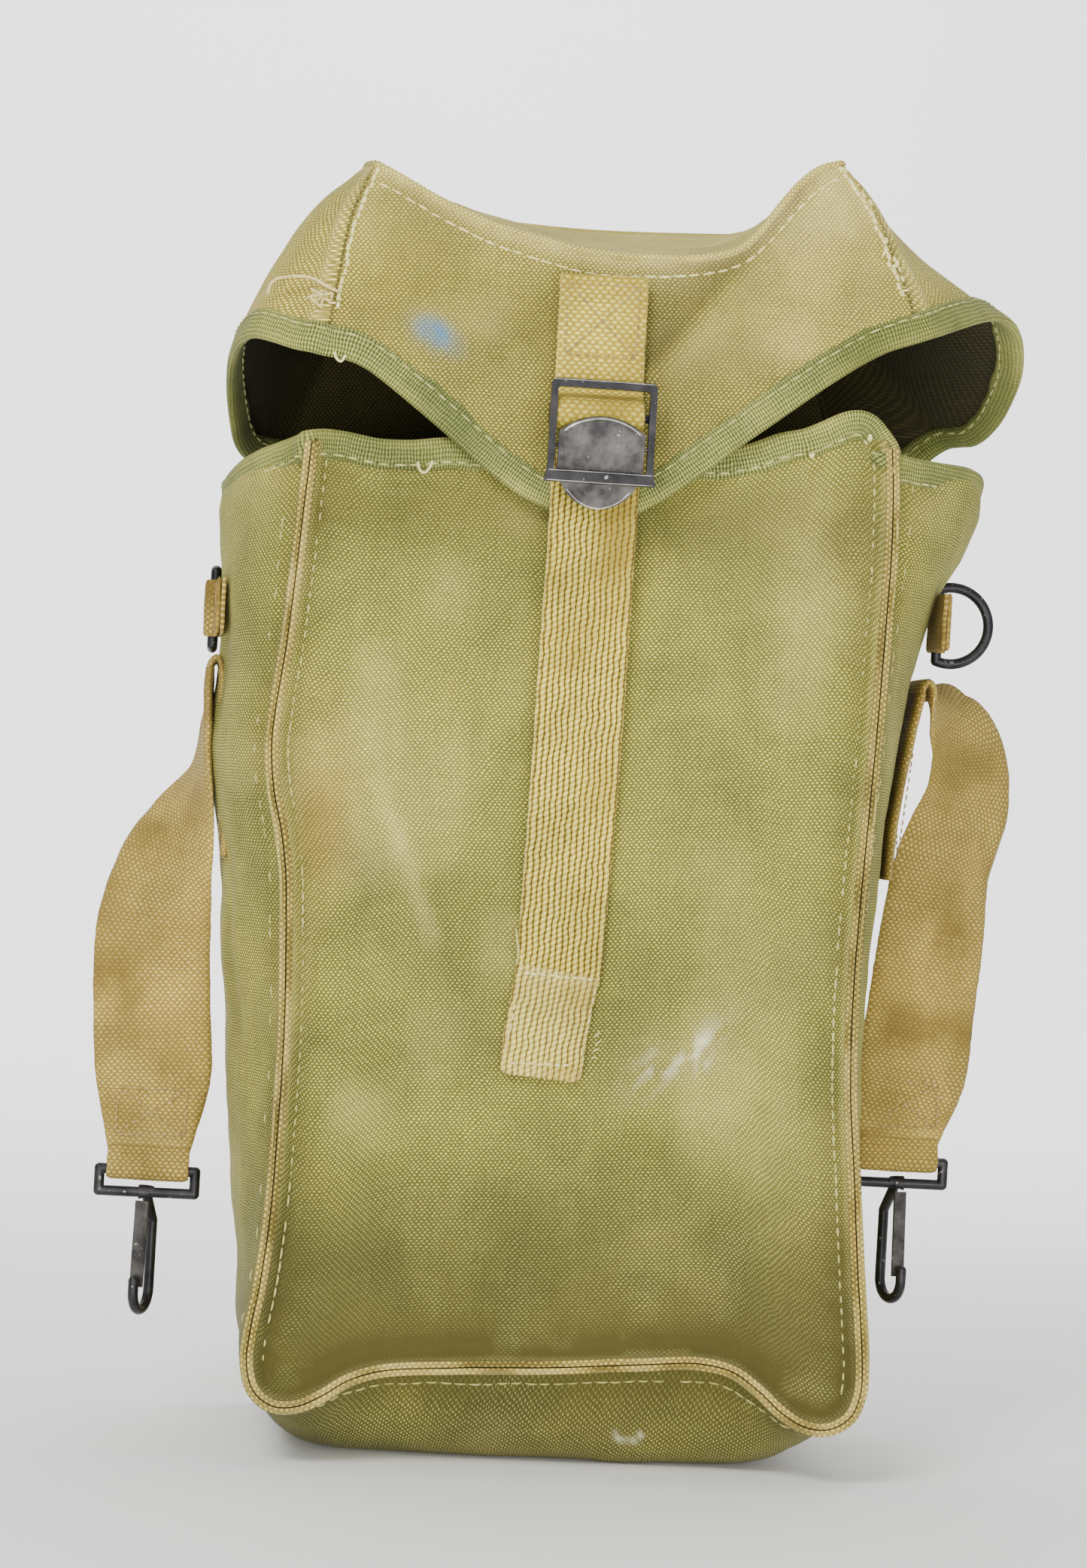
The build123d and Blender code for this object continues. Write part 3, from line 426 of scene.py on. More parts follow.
def cloth_mat(name, gap, base, light, pu, pv, kind="plain", stains_and_shade=(), pale=None, bump=0.35, depth=0.00022, rough=0.85,
              contrast=1.0, sheen=0.03, shade=True):
    """Woven cloth. pu and pv are the weave's repeats in millimetres along the two directions of wv."""
    m, nt, bsdf = new_mat(name)
    g = G(nt)
    wv = g.attr("wv").outputs["Vector"]
    tc = g.n("ShaderNodeTexCoord").outputs["Object"]
    # thread wander
    sep = g.n("ShaderNodeSeparateXYZ")
    g.link(wv, sep.inputs[0])
    u, v = sep.outputs[0], sep.outputs[1]
    wob1 = g.noise(wv, 0.16, 2.0)
    wob2 = g.noise(wv, 0.9, 1.0)
    du = g.math("MULTIPLY_ADD", wob1, 1.6, g.math("MULTIPLY", wob2, 0.35))
    dv = g.math("MULTIPLY_ADD", wob1, -1.2, g.math("MULTIPLY", wob2, 0.3))
    u2, v2 = g.math("ADD", u, du), g.math("ADD", v, dv)
    ku, kv = 2 * math.pi / pu, 2 * math.pi / pv
    if kind == "plain":
        h = g.math("MULTIPLY", g.math("SINE", g.math("MULTIPLY", u2, ku)), g.math("SINE", g.math("MULTIPLY", v2, kv)))
        rib = g.math("ABSOLUTE", g.math("SINE", g.math("MULTIPLY", v2, kv)))
        h = g.math("ADD", g.math("MULTIPLY_ADD", h, 0.36, 0.28), g.math("MULTIPLY", rib, 0.36))
    elif kind == "rib":       # ribs across the length
        h = g.math("MULTIPLY_ADD", g.math("SINE", g.math("MULTIPLY", u2, ku)), 0.36, 0.5)
        h = g.math("ADD", h, g.math("MULTIPLY", g.math("SINE", g.math("MULTIPLY", v2, kv)), 0.14))
    else:                     # lengthwise columns of slanted threads
        su = g.math("SINE", g.math("MULTIPLY", u2, ku))
        colm = g.math("ABSOLUTE", su)
        a = g.math("SINE", g.math("ADD", g.math("MULTIPLY", v2, kv), g.math("MULTIPLY", u2, ku * 1.1)))
        h = g.math("ADD", g.math("MULTIPLY", g.math("MULTIPLY_ADD", a, 0.34, 0.36), colm), g.math("MULTIPLY_ADD", colm, 0.34, 0.02))
    # thread to thread variation and loose fibres
    streak_u = g.noise(g.combine(g.math("MULTIPLY", u, 0.05), g.math("MULTIPLY", v, 1.3)), 1.0, 2.0)
    streak_v = g.noise(g.combine(g.math("MULTIPLY", u, 1.3), g.math("MULTIPLY", v, 0.05)), 1.0, 2.0)
    fine = g.noise(wv, 3.2, 2.0, 0.7)
    h2 = g.math("ADD", h, g.math("MULTIPLY_ADD", fine, 0.34 * contrast, -0.17 * contrast), clamp=True)
    mid = tuple(base)
    col = g.ramp(h2, [(0.12, gap), (0.46, mid), (0.72, mid), (0.98, light)])
    tone = g.math("ADD", g.math("MULTIPLY", streak_u, 0.5), g.math("MULTIPLY", streak_v, 0.5))
    col = g.mix(1.0, col, g.ramp(tone, [(0.3, (0.80, 0.80, 0.80)), (0.7, (1.16, 1.16, 1.14))]), "MULTIPLY")
    # broad fading
    big = g.noise(tc, 9.0, 3.0, 0.6)
    col = g.mix(1.0, col, g.ramp(big, [(0.30, (0.76, 0.77, 0.78)), (0.5, (1.0, 1.0, 1.0)), (0.70, (1.24, 1.18, 1.14))]), "MULTIPLY")
    big2 = g.noise(tc, 38.0, 4.0, 0.62, 0.6)
    col = g.mix(1.0, col, g.ramp(big2, [(0.30, (0.78, 0.79, 0.80)), (0.5, (1.0, 1.0, 1.0)), (0.70, (1.2, 1.18, 1.14))]), "MULTIPLY")
    if pale is not None:      # rubbed and faded places from the mesh, and on the flap front painted light on the lit side of the crease
        w = g.attr("wear_and_light").outputs["Fac"]
        brk = g.noise(tc, 90.0, 4.0, 0.7)
        k = g.math("MULTIPLY", w, g.math("MULTIPLY_ADD", brk, 1.5, -0.1, clamp=True), clamp=True)
        k = g.math("MULTIPLY", k, g.math("MULTIPLY_ADD", h2, 1.1, 0.12), clamp=True)
        col = g.mix(k, col, pale)
    if shade:
        col = g.mix(g.attr("shade").outputs["Fac"], col, g.mix(1.0, col, (0.50, 0.50, 0.74, 1.0), "MULTIPLY"))
    # blue paint, rust and chalk are real marks; the dark grime mask is real dirt on tapes and webbing, and on the
    # canvas panels partly painted shade
    for key, colour, scale in stains_and_shade:
        w = g.attr(key).outputs["Fac"]
        brk = g.noise(tc, scale, 4.0, 0.65)
        k = g.math("MULTIPLY", w, g.math("SMOOTH_MIN", g.math("MULTIPLY_ADD", brk, 3.2, -0.75, clamp=True), 1.0, 0.1), clamp=True)
        k = g.math("MULTIPLY", k, g.math("MULTIPLY_ADD", h, 0.5, 0.55), clamp=True)
        col = g.mix(k, col, colour)
    # painted shade: faces flagged 'inner' are multiplied down to about a tenth, standing in for the shade inside the
    # bag and under the flap
    col = g.mix(g.attr("inner").outputs["Fac"], col, g.mix(1.0, col, (0.09, 0.09, 0.07, 1.0), "MULTIPLY"))
    g.link(col, bsdf.inputs["Base Color"])
    bsdf.inputs["Sheen Weight"].default_value = sheen
    bsdf.inputs["Sheen Roughness"].default_value = 0.5
    bsdf.inputs["Specular IOR Level"].default_value = 0.25
    r = g.math("MULTIPLY_ADD", fine, 0.14, rough - 0.07)
    g.link(r, bsdf.inputs["Roughness"])
    bmp = g.n("ShaderNodeBump")
    bmp.inputs["Strength"].default_value = bump
    bmp.inputs["Distance"].default_value = depth
    hh = g.math("ADD", h, g.math("MULTIPLY", fine, 0.5))
    g.link(hh, bmp.inputs["Height"])
    soft = g.n("ShaderNodeBump")
    soft.inputs["Strength"].default_value = 0.5
    soft.inputs["Distance"].default_value = 0.0009
    g.link(g.noise(tc, 70.0, 3.0, 0.6), soft.inputs["Height"])
    g.link(soft.outputs["Normal"], bmp.inputs["Normal"])
    g.link(bmp.outputs["Normal"], bsdf.inputs["Normal"])
    return m


def thread_mat(name, a, b):
    m, nt, bsdf = new_mat(name)
    g = G(nt)
    tc = g.n("ShaderNodeTexCoord").outputs["Object"]
    col = g.ramp(g.noise(tc, 160.0, 3.0), [(0.3, a), (0.7, b)])
    g.link(col, bsdf.inputs["Base Color"])
    g.link(g.math("MULTIPLY_ADD", g.noise(tc, 900.0, 2.0), 0.2, 0.7), bsdf.inputs["Roughness"])
    bmp = g.n("ShaderNodeBump")
    bmp.inputs["Strength"].default_value = 0.5
    bmp.inputs["Distance"].default_value = 0.0002
    g.link(g.noise(tc, 2600.0, 2.0), bmp.inputs["Height"])
    g.link(bmp.outputs["Normal"], bsdf.inputs["Normal"])
    bsdf.inputs["Sheen Weight"].default_value = 0.2
    return m


def steel_mat(name, dark, mid, bright, metallic=0.6, rough=0.3, mottle=(0.35, 0.7)):
    m, nt, bsdf = new_mat(name)
    g = G(nt)
    tc = g.n("ShaderNodeTexCoord").outputs["Object"]
    n1 = g.noise(tc, 150.0, 5.0, 0.6)
    n2 = g.noise(tc, 420.0, 3.0, 0.6)
    col = g.ramp(n1, [(mottle[0], dark), (mottle[1], mid)])
    k = g.ramp(n2, [(0.66, (0, 0, 0)), (0.76, (0.7, 0.7, 0.7))])
    col = g.mix(k, col, bright)
    g.link(col, bsdf.inputs["Base Color"])
    bsdf.inputs["Metallic"].default_value = metallic
    g.link(g.math("MULTIPLY_ADD", n2, 0.22, rough), bsdf.inputs["Roughness"])
    bmp = g.n("ShaderNodeBump")
    bmp.inputs["Strength"].default_value = 0.3
    bmp.inputs["Distance"].default_value = 0.0002
    g.link(g.math("ADD", n1, g.math("MULTIPLY", n2, 0.4)), bmp.inputs["Height"])
    g.link(bmp.outputs["Normal"], bsdf.inputs["Normal"])
    return m


PALE = lin(214, 200, 150)
canvas = cloth_mat("canvas", lin(38, 36, 6), lin(126, 123, 50), lin(255, 250, 136), 1.4, 1.7, "plain",
                   stains_and_shade=(("blue", lin(40, 124, 160), 60.0), ("rust", lin(140, 100, 40), 40.0),
                          ("chalk", lin(236, 232, 196), 300.0), ("grime_and_shade", lin(70, 64, 20), 26.0)),
                   pale=lin(230, 212, 124))
canvas_flap = cloth_mat("canvas_flap", lin(46, 38, 8), lin(142, 131, 53), lin(255, 250, 140), 1.4, 1.7, "plain",
                        stains_and_shade=(("blue", lin(20, 128, 190), 60.0), ("grime_and_shade", lin(92, 82, 26), 26.0)),
                        pale=lin(236, 216, 132))
seam_cloth = cloth_mat("seam_canvas", lin(52, 44, 12), lin(128, 112, 48), lin(240, 228, 128), 1.7, 2.6, "plain",
                       stains_and_shade=(("grime_and_shade", lin(80, 64, 22), 26.0),), pale=lin(214, 192, 112), bump=0.55, depth=0.0003)
tape = cloth_mat("binding_tape", lin(56, 62, 24), lin(112, 119, 60), lin(182, 186, 108), 0.9, 1.3, "rib",
                 stains_and_shade=(("grime_and_shade", lin(52, 64, 14), 26.0),), pale=lin(200, 190, 100), bump=0.3, depth=0.0002)
web = cloth_mat("webbing", lin(84, 62, 6), lin(208, 184, 66), lin(255, 252, 150), 2.4, 2.5, "plain",
                stains_and_shade=(("grime_and_shade", lin(112, 86, 18), 40.0),), pale=lin(244, 224, 132), bump=0.6, depth=0.00035, contrast=0.8)
web_twill = cloth_mat("webbing_twill", lin(74, 56, 4), lin(220, 196, 74), lin(255, 254, 156), 3.5, 1.7, "twill",
                      stains_and_shade=(("grime_and_shade", lin(112, 86, 18), 40.0),), pale=lin(246, 226, 138), bump=0.7, depth=0.00040, contrast=0.7)
web_side = cloth_mat("webbing_side", lin(78, 58, 16), lin(172, 147, 72), lin(248, 228, 138), 1.8, 2.1, "plain",
                     stains_and_shade=(("grime_and_shade", lin(92, 70, 18), 40.0),), pale=lin(222, 196, 112), bump=0.55, depth=0.0003, contrast=0.8)
thread = thread_mat("thread", lin(206, 194, 116), lin(240, 230, 160))
thread_olive = thread_mat("thread_olive", lin(150, 146, 74), lin(200, 194, 116))
thread_tan = thread_mat("thread_tan", lin(200, 176, 108), lin(236, 214, 150))
thread_web = thread_mat("thread_web", lin(132, 106, 54), lin(178, 150, 88))
steel = steel_mat("blackened_steel", lin(26, 25, 27), lin(56, 54, 55), lin(190, 188, 184))
steel_plate = steel_mat("worn_steel", lin(40, 38, 38), lin(88, 84, 80), lin(200, 198, 192), mottle=(0.38, 0.66), rough=0.34)
steel_bright = steel_mat("worn_bright_steel", lin(120, 118, 114), lin(206, 204, 198), lin(236, 234, 230), metallic=0.8, rough=0.2)


# -------------------------------------------------- the bag: lines and shapes
# edge of the front panel, from the left end of the mouth down and round to the right end (x, z)
front_line = [(-85.0, 300.0), (-86.0, 284.0), (-87.4, 262.0), (-89.0, 240.0), (-91.0, 222.0), (-91.6, 210.0), (-90.2, 198.0), (-87.4, 186.0), (-85.4, 174.0),
              (-84.2, 154.0), (-83.2, 128.0), (-83.4, 100.0), (-84.2, 74.0), (-86.2, 52.0), (-88.2, 39.0), (-88.6, 30.0), (-86.2, 22.6), (-81.0, 18.8),
              (-74.0, 19.0), (-67.0, 22.4), (-60.0, 27.0), (-50.0, 30.4), (-30.0, 32.2), (0.0, 33.6), (26.0, 35.6), (44.0, 36.6), (54.0, 34.6), (62.0, 29.4), (69.0, 23.4),
              (76.0, 19.4), (83.0, 18.8), (89.0, 22.4), (91.6, 29.4), (91.6, 38.0), (90.4, 50.0), (88.2, 70.0), (86.0, 93.0), (83.6, 116.0), (82.6, 140.0),
              (82.8, 163.0), (83.6, 186.0), (84.6, 210.0), (85.4, 233.0), (86.0, 256.0), (86.4, 280.0), (85.6, 300.0), (84.8, 309.0)]
back_line = [(-86.0, 300.0), (-87.0, 240.0), (-87.4, 180.0), (-87.4, 110.0), (-87.4, 60.0), (-87.0, 36.0), (-85.0, 22.0), (-79.6, 11.0), (-70.0, 4.6), (-60.0, 2.6), (-40.0, 2.0), (0.0, 2.0),
             (44.0, 2.0), (62.0, 3.0), (72.0, 5.4), (81.0, 12.0), (86.2, 23.0), (87.8, 38.0), (87.8, 60.0), (87.6, 110.0), (87.4, 180.0), (87.0, 240.0), (86.0, 302.0)]
STEP = 1.5


def split_line(line, n_side, n_bot):
    """The line as left side, bottom and right side with even numbers of points."""
    d = path(line, step=0.5)
    i0 = int(np.argmin(np.abs(d[:, 0] - (-87.2)) + np.abs(d[:, 1] - 25) * 1.0 + 1000 * (d[:, 0] > 0)))
    i1 = int(np.argmin(np.abs(d[:, 0] - 88.6) + np.abs(d[:, 1] - 22) * 1.0 + 1000 * (d[:, 0] < 0)))

    def even(p, n):
        s = np.concatenate([[0], np.cumsum(np.linalg.norm(np.diff(p, axis=0), axis=1))])
        w = np.linspace(0, s[-1], n)
        return np.stack([np.interp(w, s, p[:, 0]), np.interp(w, s, p[:, 1])], 1)

    return even(d[: i0 + 1], n_side), even(d[i0 : i1 + 1], n_bot), even(d[i1:], n_side)


n_side, n_bot = int(285 / STEP), int(196 / STEP)
fl, fb, fr = split_line(front_line, n_side, n_bot)
bl, bb, br = split_line(back_line, n_side, n_bot)
U_front = np.vstack([fl, fb[1:], fr[1:]])
U_back = np.vstack([bl, bb[1:], br[1:]])

# height of the mouth across the front (x, z): top edge of the canvas
mouth_x = np.array([-88, -82, -76, -66, -56, -45, -30, 0, 23, 35, 44, 53, 60, 66, 72, 77, 81, 84, 88.0])
mouth_z = np.array([301.4, 302.8, 302.4, 300.8, 301.0, 302.8, 302.0, 301.5, 304.5, 304.5, 306.5, 310.6, 312.0, 315.0, 318.2, 319.0, 317.2, 313.4, 309.0])


def front_top(x):
    return np.interp(x, mouth_x, mouth_z)


def outward(line):
    """Outward 2D normal of a line that runs down, across and up."""
    T = np.gradient(line, axis=0)
    T /= np.maximum(np.linalg.norm(T, axis=1, keepdims=True), 1e-9)
    return np.stack([T[:, 1], -T[:, 0]], 1)


def wrinkle(a, b, seed, big=0.9, mid=0.45, small=0.16):
    return big * vnoise(a / 46, b / 46, seed) + mid * vnoise(a / 19, b / 23, seed + 1) + small * vnoise(a / 7.5, b / 9, seed + 2)


# ---- front panel
m = int(176 / STEP)
n = n_side
s = np.linspace(0, 1, m)
top = np.stack([np.linspace(-85, 84.8, m), np.zeros(m)], 1)
top[:, 1] = front_top(top[:, 0])
# the side lines run from the mouth down; the panel's grid runs up
d0, d1 = fl[::-1].copy(), fr.copy()
d0[-1], d1[-1] = top[0], top[-1]
bot = path(np.vstack([fb]), n=m)
P2 = coons(np.pad(bot, ((0, 0), (0, 1))), np.pad(top, ((0, 0), (0, 1))), np.pad(d0, ((0, 0), (0, 1))), np.pad(d1, ((0, 0), (0, 1))))[:, :, :2]
edge = U_front
dist, along = to_line(P2, edge)
X, Z = P2[..., 0], P2[..., 1]
rise = np.clip(1 - dist / 6.5, 0, 1) ** 1.7
y = -54.2 - 4.9 * rise
mid = smooth(dist / 26.0)
y += mid * (-wrinkle(X, Z, 3) * 0.9 - 2.2 * np.exp(-(((Z - 120) / 90) ** 2)) * smooth(dist / 50))
# puckers that run in from the seams
y += 0.42 * np.exp(-np.maximum(dist - 3.5, 0) / 7.0) * vnoise(along / 5.2, dist / 30, 11) * smooth(dist / 4)
# creases across the lower left and below the flap
cr = (X - 6) * 0.80 + (Z - 150) * 0.60
y += 0.9 * np.exp(-((cr + 46) / 3.0) ** 2) * smooth((Z - 125) / 20) * smooth((215 - Z) / 30) * mid
cr2 = (X + 40) * 0.35 - (Z - 90) * 0.94
y += 0.7 * np.exp(-((cr2) / 4.0) ** 2) * mid * smooth((40 - np.abs(X + 40)) / 30)
# the sewn end of the strap pulls the cloth in a little
y += 0.9 * np.exp(-(((X + 6) / 24) ** 2 + ((Z - 132) / 24) ** 2))
# hanging folds just under the mouth
y += 1.0 * smooth((Z - 262) / 40) * vnoise(X / 17, Z / 80, 23) * mid
wear_and_light = np.clip(1 - np.abs(dist - 0.2) / 1.6, 0, 1) * 1.0
rub = np.clip(vnoise(X / 21, Z / 26, 41) - 0.25, 0, 1) * 0.5 + np.clip(vnoise(X / 60, Z / 70, 42), 0, 1) * 0.15
line1 = np.exp(-((((X + 50) * 0.93 + (Z - 176) * 0.37) / 2.6) ** 2)) * smooth((Z - 150) / 10) * smooth((206 - Z) / 12)
wear_and_light = np.clip(wear_and_light + rub * smooth((Z - 60) / 60) * 0.9 + 0.45 * line1, 0, 1)
wear_and_light += 0.3 * np.exp(-(((X - 30) / 16) ** 2 + ((Z - 124) / 12) ** 2))
# darker towards the bottom, plus painted shade in the creases along the seams and in a band just under the mouth and
# the flap's point
grime_and_shade = smooth((120 - Z) / 90) * 0.75 + 0.5 * np.exp(-(dist / 9) ** 2) * (dist > 2.4) + 0.45 * np.exp(-((Z - 285) / 16) ** 2)
sc1, sc2 = (X - 32) * 0.77 + (Z - 126) * 0.64, -(X - 32) * 0.64 + (Z - 126) * 0.77
chalk = 0.55 * np.exp(-((sc1 / 13) ** 2 + (sc2 / 4.5) ** 2)) * smooth((vnoise(sc1 / 5.0, sc2 / 1.6, 77) + 0.1) / 0.5)
chalk += 0.7 * np.exp(-(((X - 39.5) / 2.2) ** 2 + ((Z - 128) / 5.5) ** 2)) * smooth((vnoise(X / 1.8, Z / 3.0, 78) + 0.3) / 0.5)
rust = 0.55 * np.exp(-(((X + 76) / 8) ** 2 + ((Z - 190) / 22) ** 2))
P = np.stack([X, y, Z], 2)
shadeF = 0.74 * smooth((116 - Z) / 80) + 0.25 * smooth((105 - Z) / 60) * smooth((X - 20) / 40) + 0.16 * np.clip(vnoise(X / 26, Z / 20, 151), -0.2, 1)
shadeF += 0.30 * np.exp(-((cr + 40) / 9.0) ** 2) * smooth((Z - 110) / 20) * smooth((232 - Z) / 40)
shadeF += 0.28 * np.exp(-((Z - 283) / 14) ** 2) + 0.22 * np.exp(-((dist - 5) / 5) ** 2)
front = shell("canvas_front", P, 1.3, canvas, attrs={"shade": np.clip(shadeF, 0, 1), "wear_and_light": wear_and_light, "grime_and_shade": grime_and_shade, "chalk": chalk, "rust": rust, "blue": X * 0})
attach(front, "bag"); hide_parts("front_panel", "front_seam")
front_P = P


def front_y(x, z):
    """The front panel's middle surface height near a point."""
    k = ((X - x) ** 2 + (Z - z) ** 2).argmin()
    return float(y.ravel()[k])


# ---- sides and bottom: one long strip round the bag
ys = np.concatenate([np.linspace(-59.6, -54.0, 5), np.linspace(-54.0, 52.0, int(106 / (STEP * 1.15)))[1:], np.linspace(52.0, 56.0, 4)[1:]])
mw, nv = len(U_front), len(ys)
of, ob_ = outward(U_front), outward(U_back)
A = U_front + of * 1.95
B = U_back + ob_ * 1.6
left = np.zeros(mw, bool); left[: n_side] = True
right = np.zeros(mw, bool); right[-n_side:] = True
zz = A[:, 1]
bl_z = np.array([0, 30, 42, 70, 102, 150, 198, 240, 270, 290, 302]); bl_v = np.array([0, 0.6, 2.6, 7.4, 11.6, 14.8, 17.0, 19.4, 21.4, 23.0, 22.0])
br_z = np.array([0, 30, 60, 110, 160, 200, 240, 262, 275, 288, 300, 310]); br_v = np.array([0, 1.0, 4.0, 7.0, 8.6, 10.0, 14.0, 19.5, 23.5, 31.0, 35.5, 36.0])
bulge = np.where(left, np.interp(zz, bl_z, bl_v), np.where(right, np.interp(zz, br_z, br_v), 0.0))
tt = (ys + 56) / 108.0
shape = np.clip(1 - ((ys + 1.5) / 52.0) ** 2, 0, None) ** 0.85
blend_s = 1 - (1 - np.clip((ys + 54.6) / 34.0, 0, 1)) ** 2.0
blend_side = smooth((ys + 56) / 110)
side_w = (smooth((zz - 18) / 22) * (left | right))[:, None] * 1.0
w_s = blend_s[None] * (1 - side_w) + blend_side[None] * side_w
S2 = A[:, None] * (1 - w_s[..., None]) + B[:, None] * w_s[..., None]
S2[..., 0] += np.where(left, -1, np.where(right, 1, 0))[:, None] * bulge[:, None] * shape[None]
# top edge of the sides: the hem dips between front and back
arc = np.concatenate([[0], np.cumsum(np.linalg.norm(np.diff(A, axis=0), axis=1))])
from_top = np.where(left, arc, np.where(right, arc[-1] - arc, 999))
hemy_l = np.interp(ys, [-60, -54, -48, -38, -20, -5, 15, 35, 52, 56], [300.6, 301.4, 299.6, 297.6, 293.4, 289.6, 291.5, 296.0, 299.0, 299.5])
hemy_r = np.interp(ys, [-60, -54, -50, -40, -30, -20, -10, 0, 20, 40, 56], [308.6, 307.0, 305.8, 305.8, 306.0, 305.0, 303.0, 299.5, 297.5, 298.5, 301.0])
lift = np.zeros((mw, nv))
frac = np.clip(1 - from_top / 90.0, 0, 1) ** 1.5
topz_l, topz_r = S2[0, :, 1], S2[-1, :, 1]
lift += np.where(left, frac, 0)[:, None] * (hemy_l - topz_l)[None]
lift += np.where(right, frac, 0)[:, None] * (hemy_r - topz_r)[None]
S2[..., 1] += lift
Yg = np.broadcast_to(ys[None], (mw, nv))
Ag = np.broadcast_to(arc[:, None], (mw, nv))
seam_d = np.minimum(np.abs(Yg + 54.5), np.abs(Yg - 53.0))
inner = smooth(seam_d / 14.0)
wr = wrinkle(Ag, Yg, 60, 1.3, 0.7, 0.22)
pk = 0.5 * np.exp(-np.maximum(seam_d - 1, 0) / 6.0) * vnoise(Ag / 4.8, Yg / 40, 61) * (np.abs(Yg + 1) < 53)
bottomish = ~(left | right)
flat_zone = bottomish[:, None] & (Yg > -26)
offs = (wr * inner + pk)
offs = np.where(flat_zone, np.abs(offs) * -0.25, offs)
o2 = (of[:, None] * (1 - w_s[..., None]) + ob_[:, None] * w_s[..., None])
o2 /= np.maximum(np.linalg.norm(o2, axis=2, keepdims=True), 1e-9)
# long soft folds down the left side below the ring and strap
fold = 1.6 * np.exp(-(((Yg + 20) / 7) ** 2)) * smooth((from_top[:, None] - 20) / 40) * smooth((230 - from_top[:, None]) / 60) * left[:, None]
S2 = S2 + o2 * (offs - fold * 0.7)[..., None]
S2[..., 1] = np.maximum(S2[..., 1], np.where(flat_zone, 0.9, -9))
S3 = np.stack([S2[..., 0], Yg, S2[..., 1]], 2)
wearS = np.clip(1 - np.abs(Yg + 59.4) / 1.3, 0, 1) + np.clip(1 - np.abs(Yg - 55.8) / 1.3, 0, 1)
wearS = np.clip(wearS + np.clip(vnoise(Ag / 24, Yg / 20, 71) - 0.3, 0, 1) * 0.45, 0, 1)
# darker along the seams and over the bottom: painted shade in the seam creases and on the downward-facing bottom
grime_and_shade_strip = 0.5 * np.exp(-(seam_d / 8) ** 2) + 0.35 * bottomish[:, None]
scuff_c = S3[..., 0] - 26.0
scuff = np.exp(-((np.hypot(scuff_c, (S3[..., 2] - 13.0)) - 4.2) / 0.8) ** 2) * (S3[..., 2] < 12.4) * (S3[..., 1] < -25) * bottomish[:, None] * 0.9
strip = shell("canvas_sides_and_bottom", S3, 1.3, canvas, wv=(Yg + 60, Ag), flip=True,
              attrs={"shade": np.clip(0.55 * bottomish[:, None] + 0.5 * smooth((90 - zz) / 60)[:, None] * (~bottomish)[:, None] + 0.25 * np.clip(vnoise(Ag / 30, Yg / 22, 161), -0.2, 1), 0, 1), "wear_and_light": wearS, "grime_and_shade": grime_and_shade_strip, "chalk": scuff, "rust": Yg * 0, "blue": Yg * 0})
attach(strip, "bag"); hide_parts("side_panel_left", "side_panel_right", "bottom_panel")

# ---- folded edges of the front seam, side by side
def seam_edges(name, ln, ylev, off, r, body, seed):
    q = path(ln + outward(ln) * off, step=1.5)
    w1 = vnoise(np.arange(len(q)) / 7.0, np.zeros(len(q)), seed)
    p3 = np.stack([q[:, 0], np.full(len(q), ylev) - 0.18 * w1, q[:, 1]], 1)
    T, W_, U_ = frames_along(p3, (0, -1.0, 0))
    return tube(name, p3, circle(r, 9) * np.array([1.0, 1.12]), W_, U_, seam_cloth,
                attrs={"wear_and_light": np.clip(0.35 + 0.5 * w1 + 0.5 * (np.abs(q[:, 1] - 22) < 10), 0, 1), "grime_and_shade": np.clip(-w1, 0, 1) * 0.7})


e_a = seam_edges("edge_a", U_front, -59.0, -0.35, 0.98, "bag", 91)
e_b = seam_edges("edge_b", U_front, -59.1, 1.75, 0.98, "bag", 92)
front_edges = merge("front_seam_edges", [e_a, e_b])
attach(front_edges, "bag")

# ---- back panel, its edge turned out to the seam
mb = int(176 / (STEP * 1.3)); nb = int(298 / (STEP * 1.3))
bl2, bb2, br2 = split_line(back_line, nb, mb)
topb = np.stack([np.linspace(-86, 86, mb), np.full(mb, 300.0)], 1)
bl2[0], br2[-1] = topb[0], topb[-1]
Q2 = coons(np.pad(bb2, ((0, 0), (0, 1))), np.pad(topb, ((0, 0), (0, 1))), np.pad(bl2[::-1], ((0, 0), (0, 1))), np.pad(br2, ((0, 0), (0, 1))))[:, :, :2]
Q2[..., 1] = np.maximum(Q2[..., 1], 0.9)
db, sb = to_line(Q2, np.vstack([bl2, bb2[1:], br2[1:]]))
XB, ZB = Q2[..., 0], Q2[..., 1]
yb = 52.0 + 3.4 * np.clip(1 - db / 6, 0, 1) ** 1.7
yb += smooth(db / 26) * wrinkle(XB, ZB, 130, 1.2, 0.6, 0.2) * 0.8
yb += 0.4 * np.exp(-np.maximum(db - 3, 0) / 7) * vnoise(sb / 5.2, db / 30, 135) * smooth(db / 4)
yb = yb + 2.3 * smooth((ZB - 285) / 15)
PB = np.stack([XB, yb, ZB], 2)
wearB = np.clip(1 - db / 1.6, 0, 1) + np.clip(vnoise(XB / 22, ZB / 26, 141) - 0.2, 0, 1) * 0.5
back = shell("canvas_back", PB, 1.3, canvas, flip=True,
             attrs={"wear_and_light": np.clip(wearB, 0, 1), "grime_and_shade": smooth((110 - ZB) / 90) * 0.6, "chalk": XB * 0, "rust": XB * 0, "blue": XB * 0})
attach(back, "bag"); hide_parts("back_panel", "back_seam")
ul = np.vstack([bl2, bb2[1:], br2[1:]])
be = path(ul + outward(ul) * 0.7, step=1.6)
p3 = np.stack([be[:, 0], np.full(len(be), 55.4), np.maximum(be[:, 1], 1.0)], 1)
T, W_, U_ = frames_along(p3, (0, 1.0, 0))
back_edges = tube("back_seam_edges", p3, circle(1.0, 9) * np.array([1.5, 1.0]), W_, U_, seam_cloth, attrs={"wear_and_light": np.full(len(be), 0.5), "grime_and_shade": np.zeros(len(be))})
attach(back_edges, "bag")

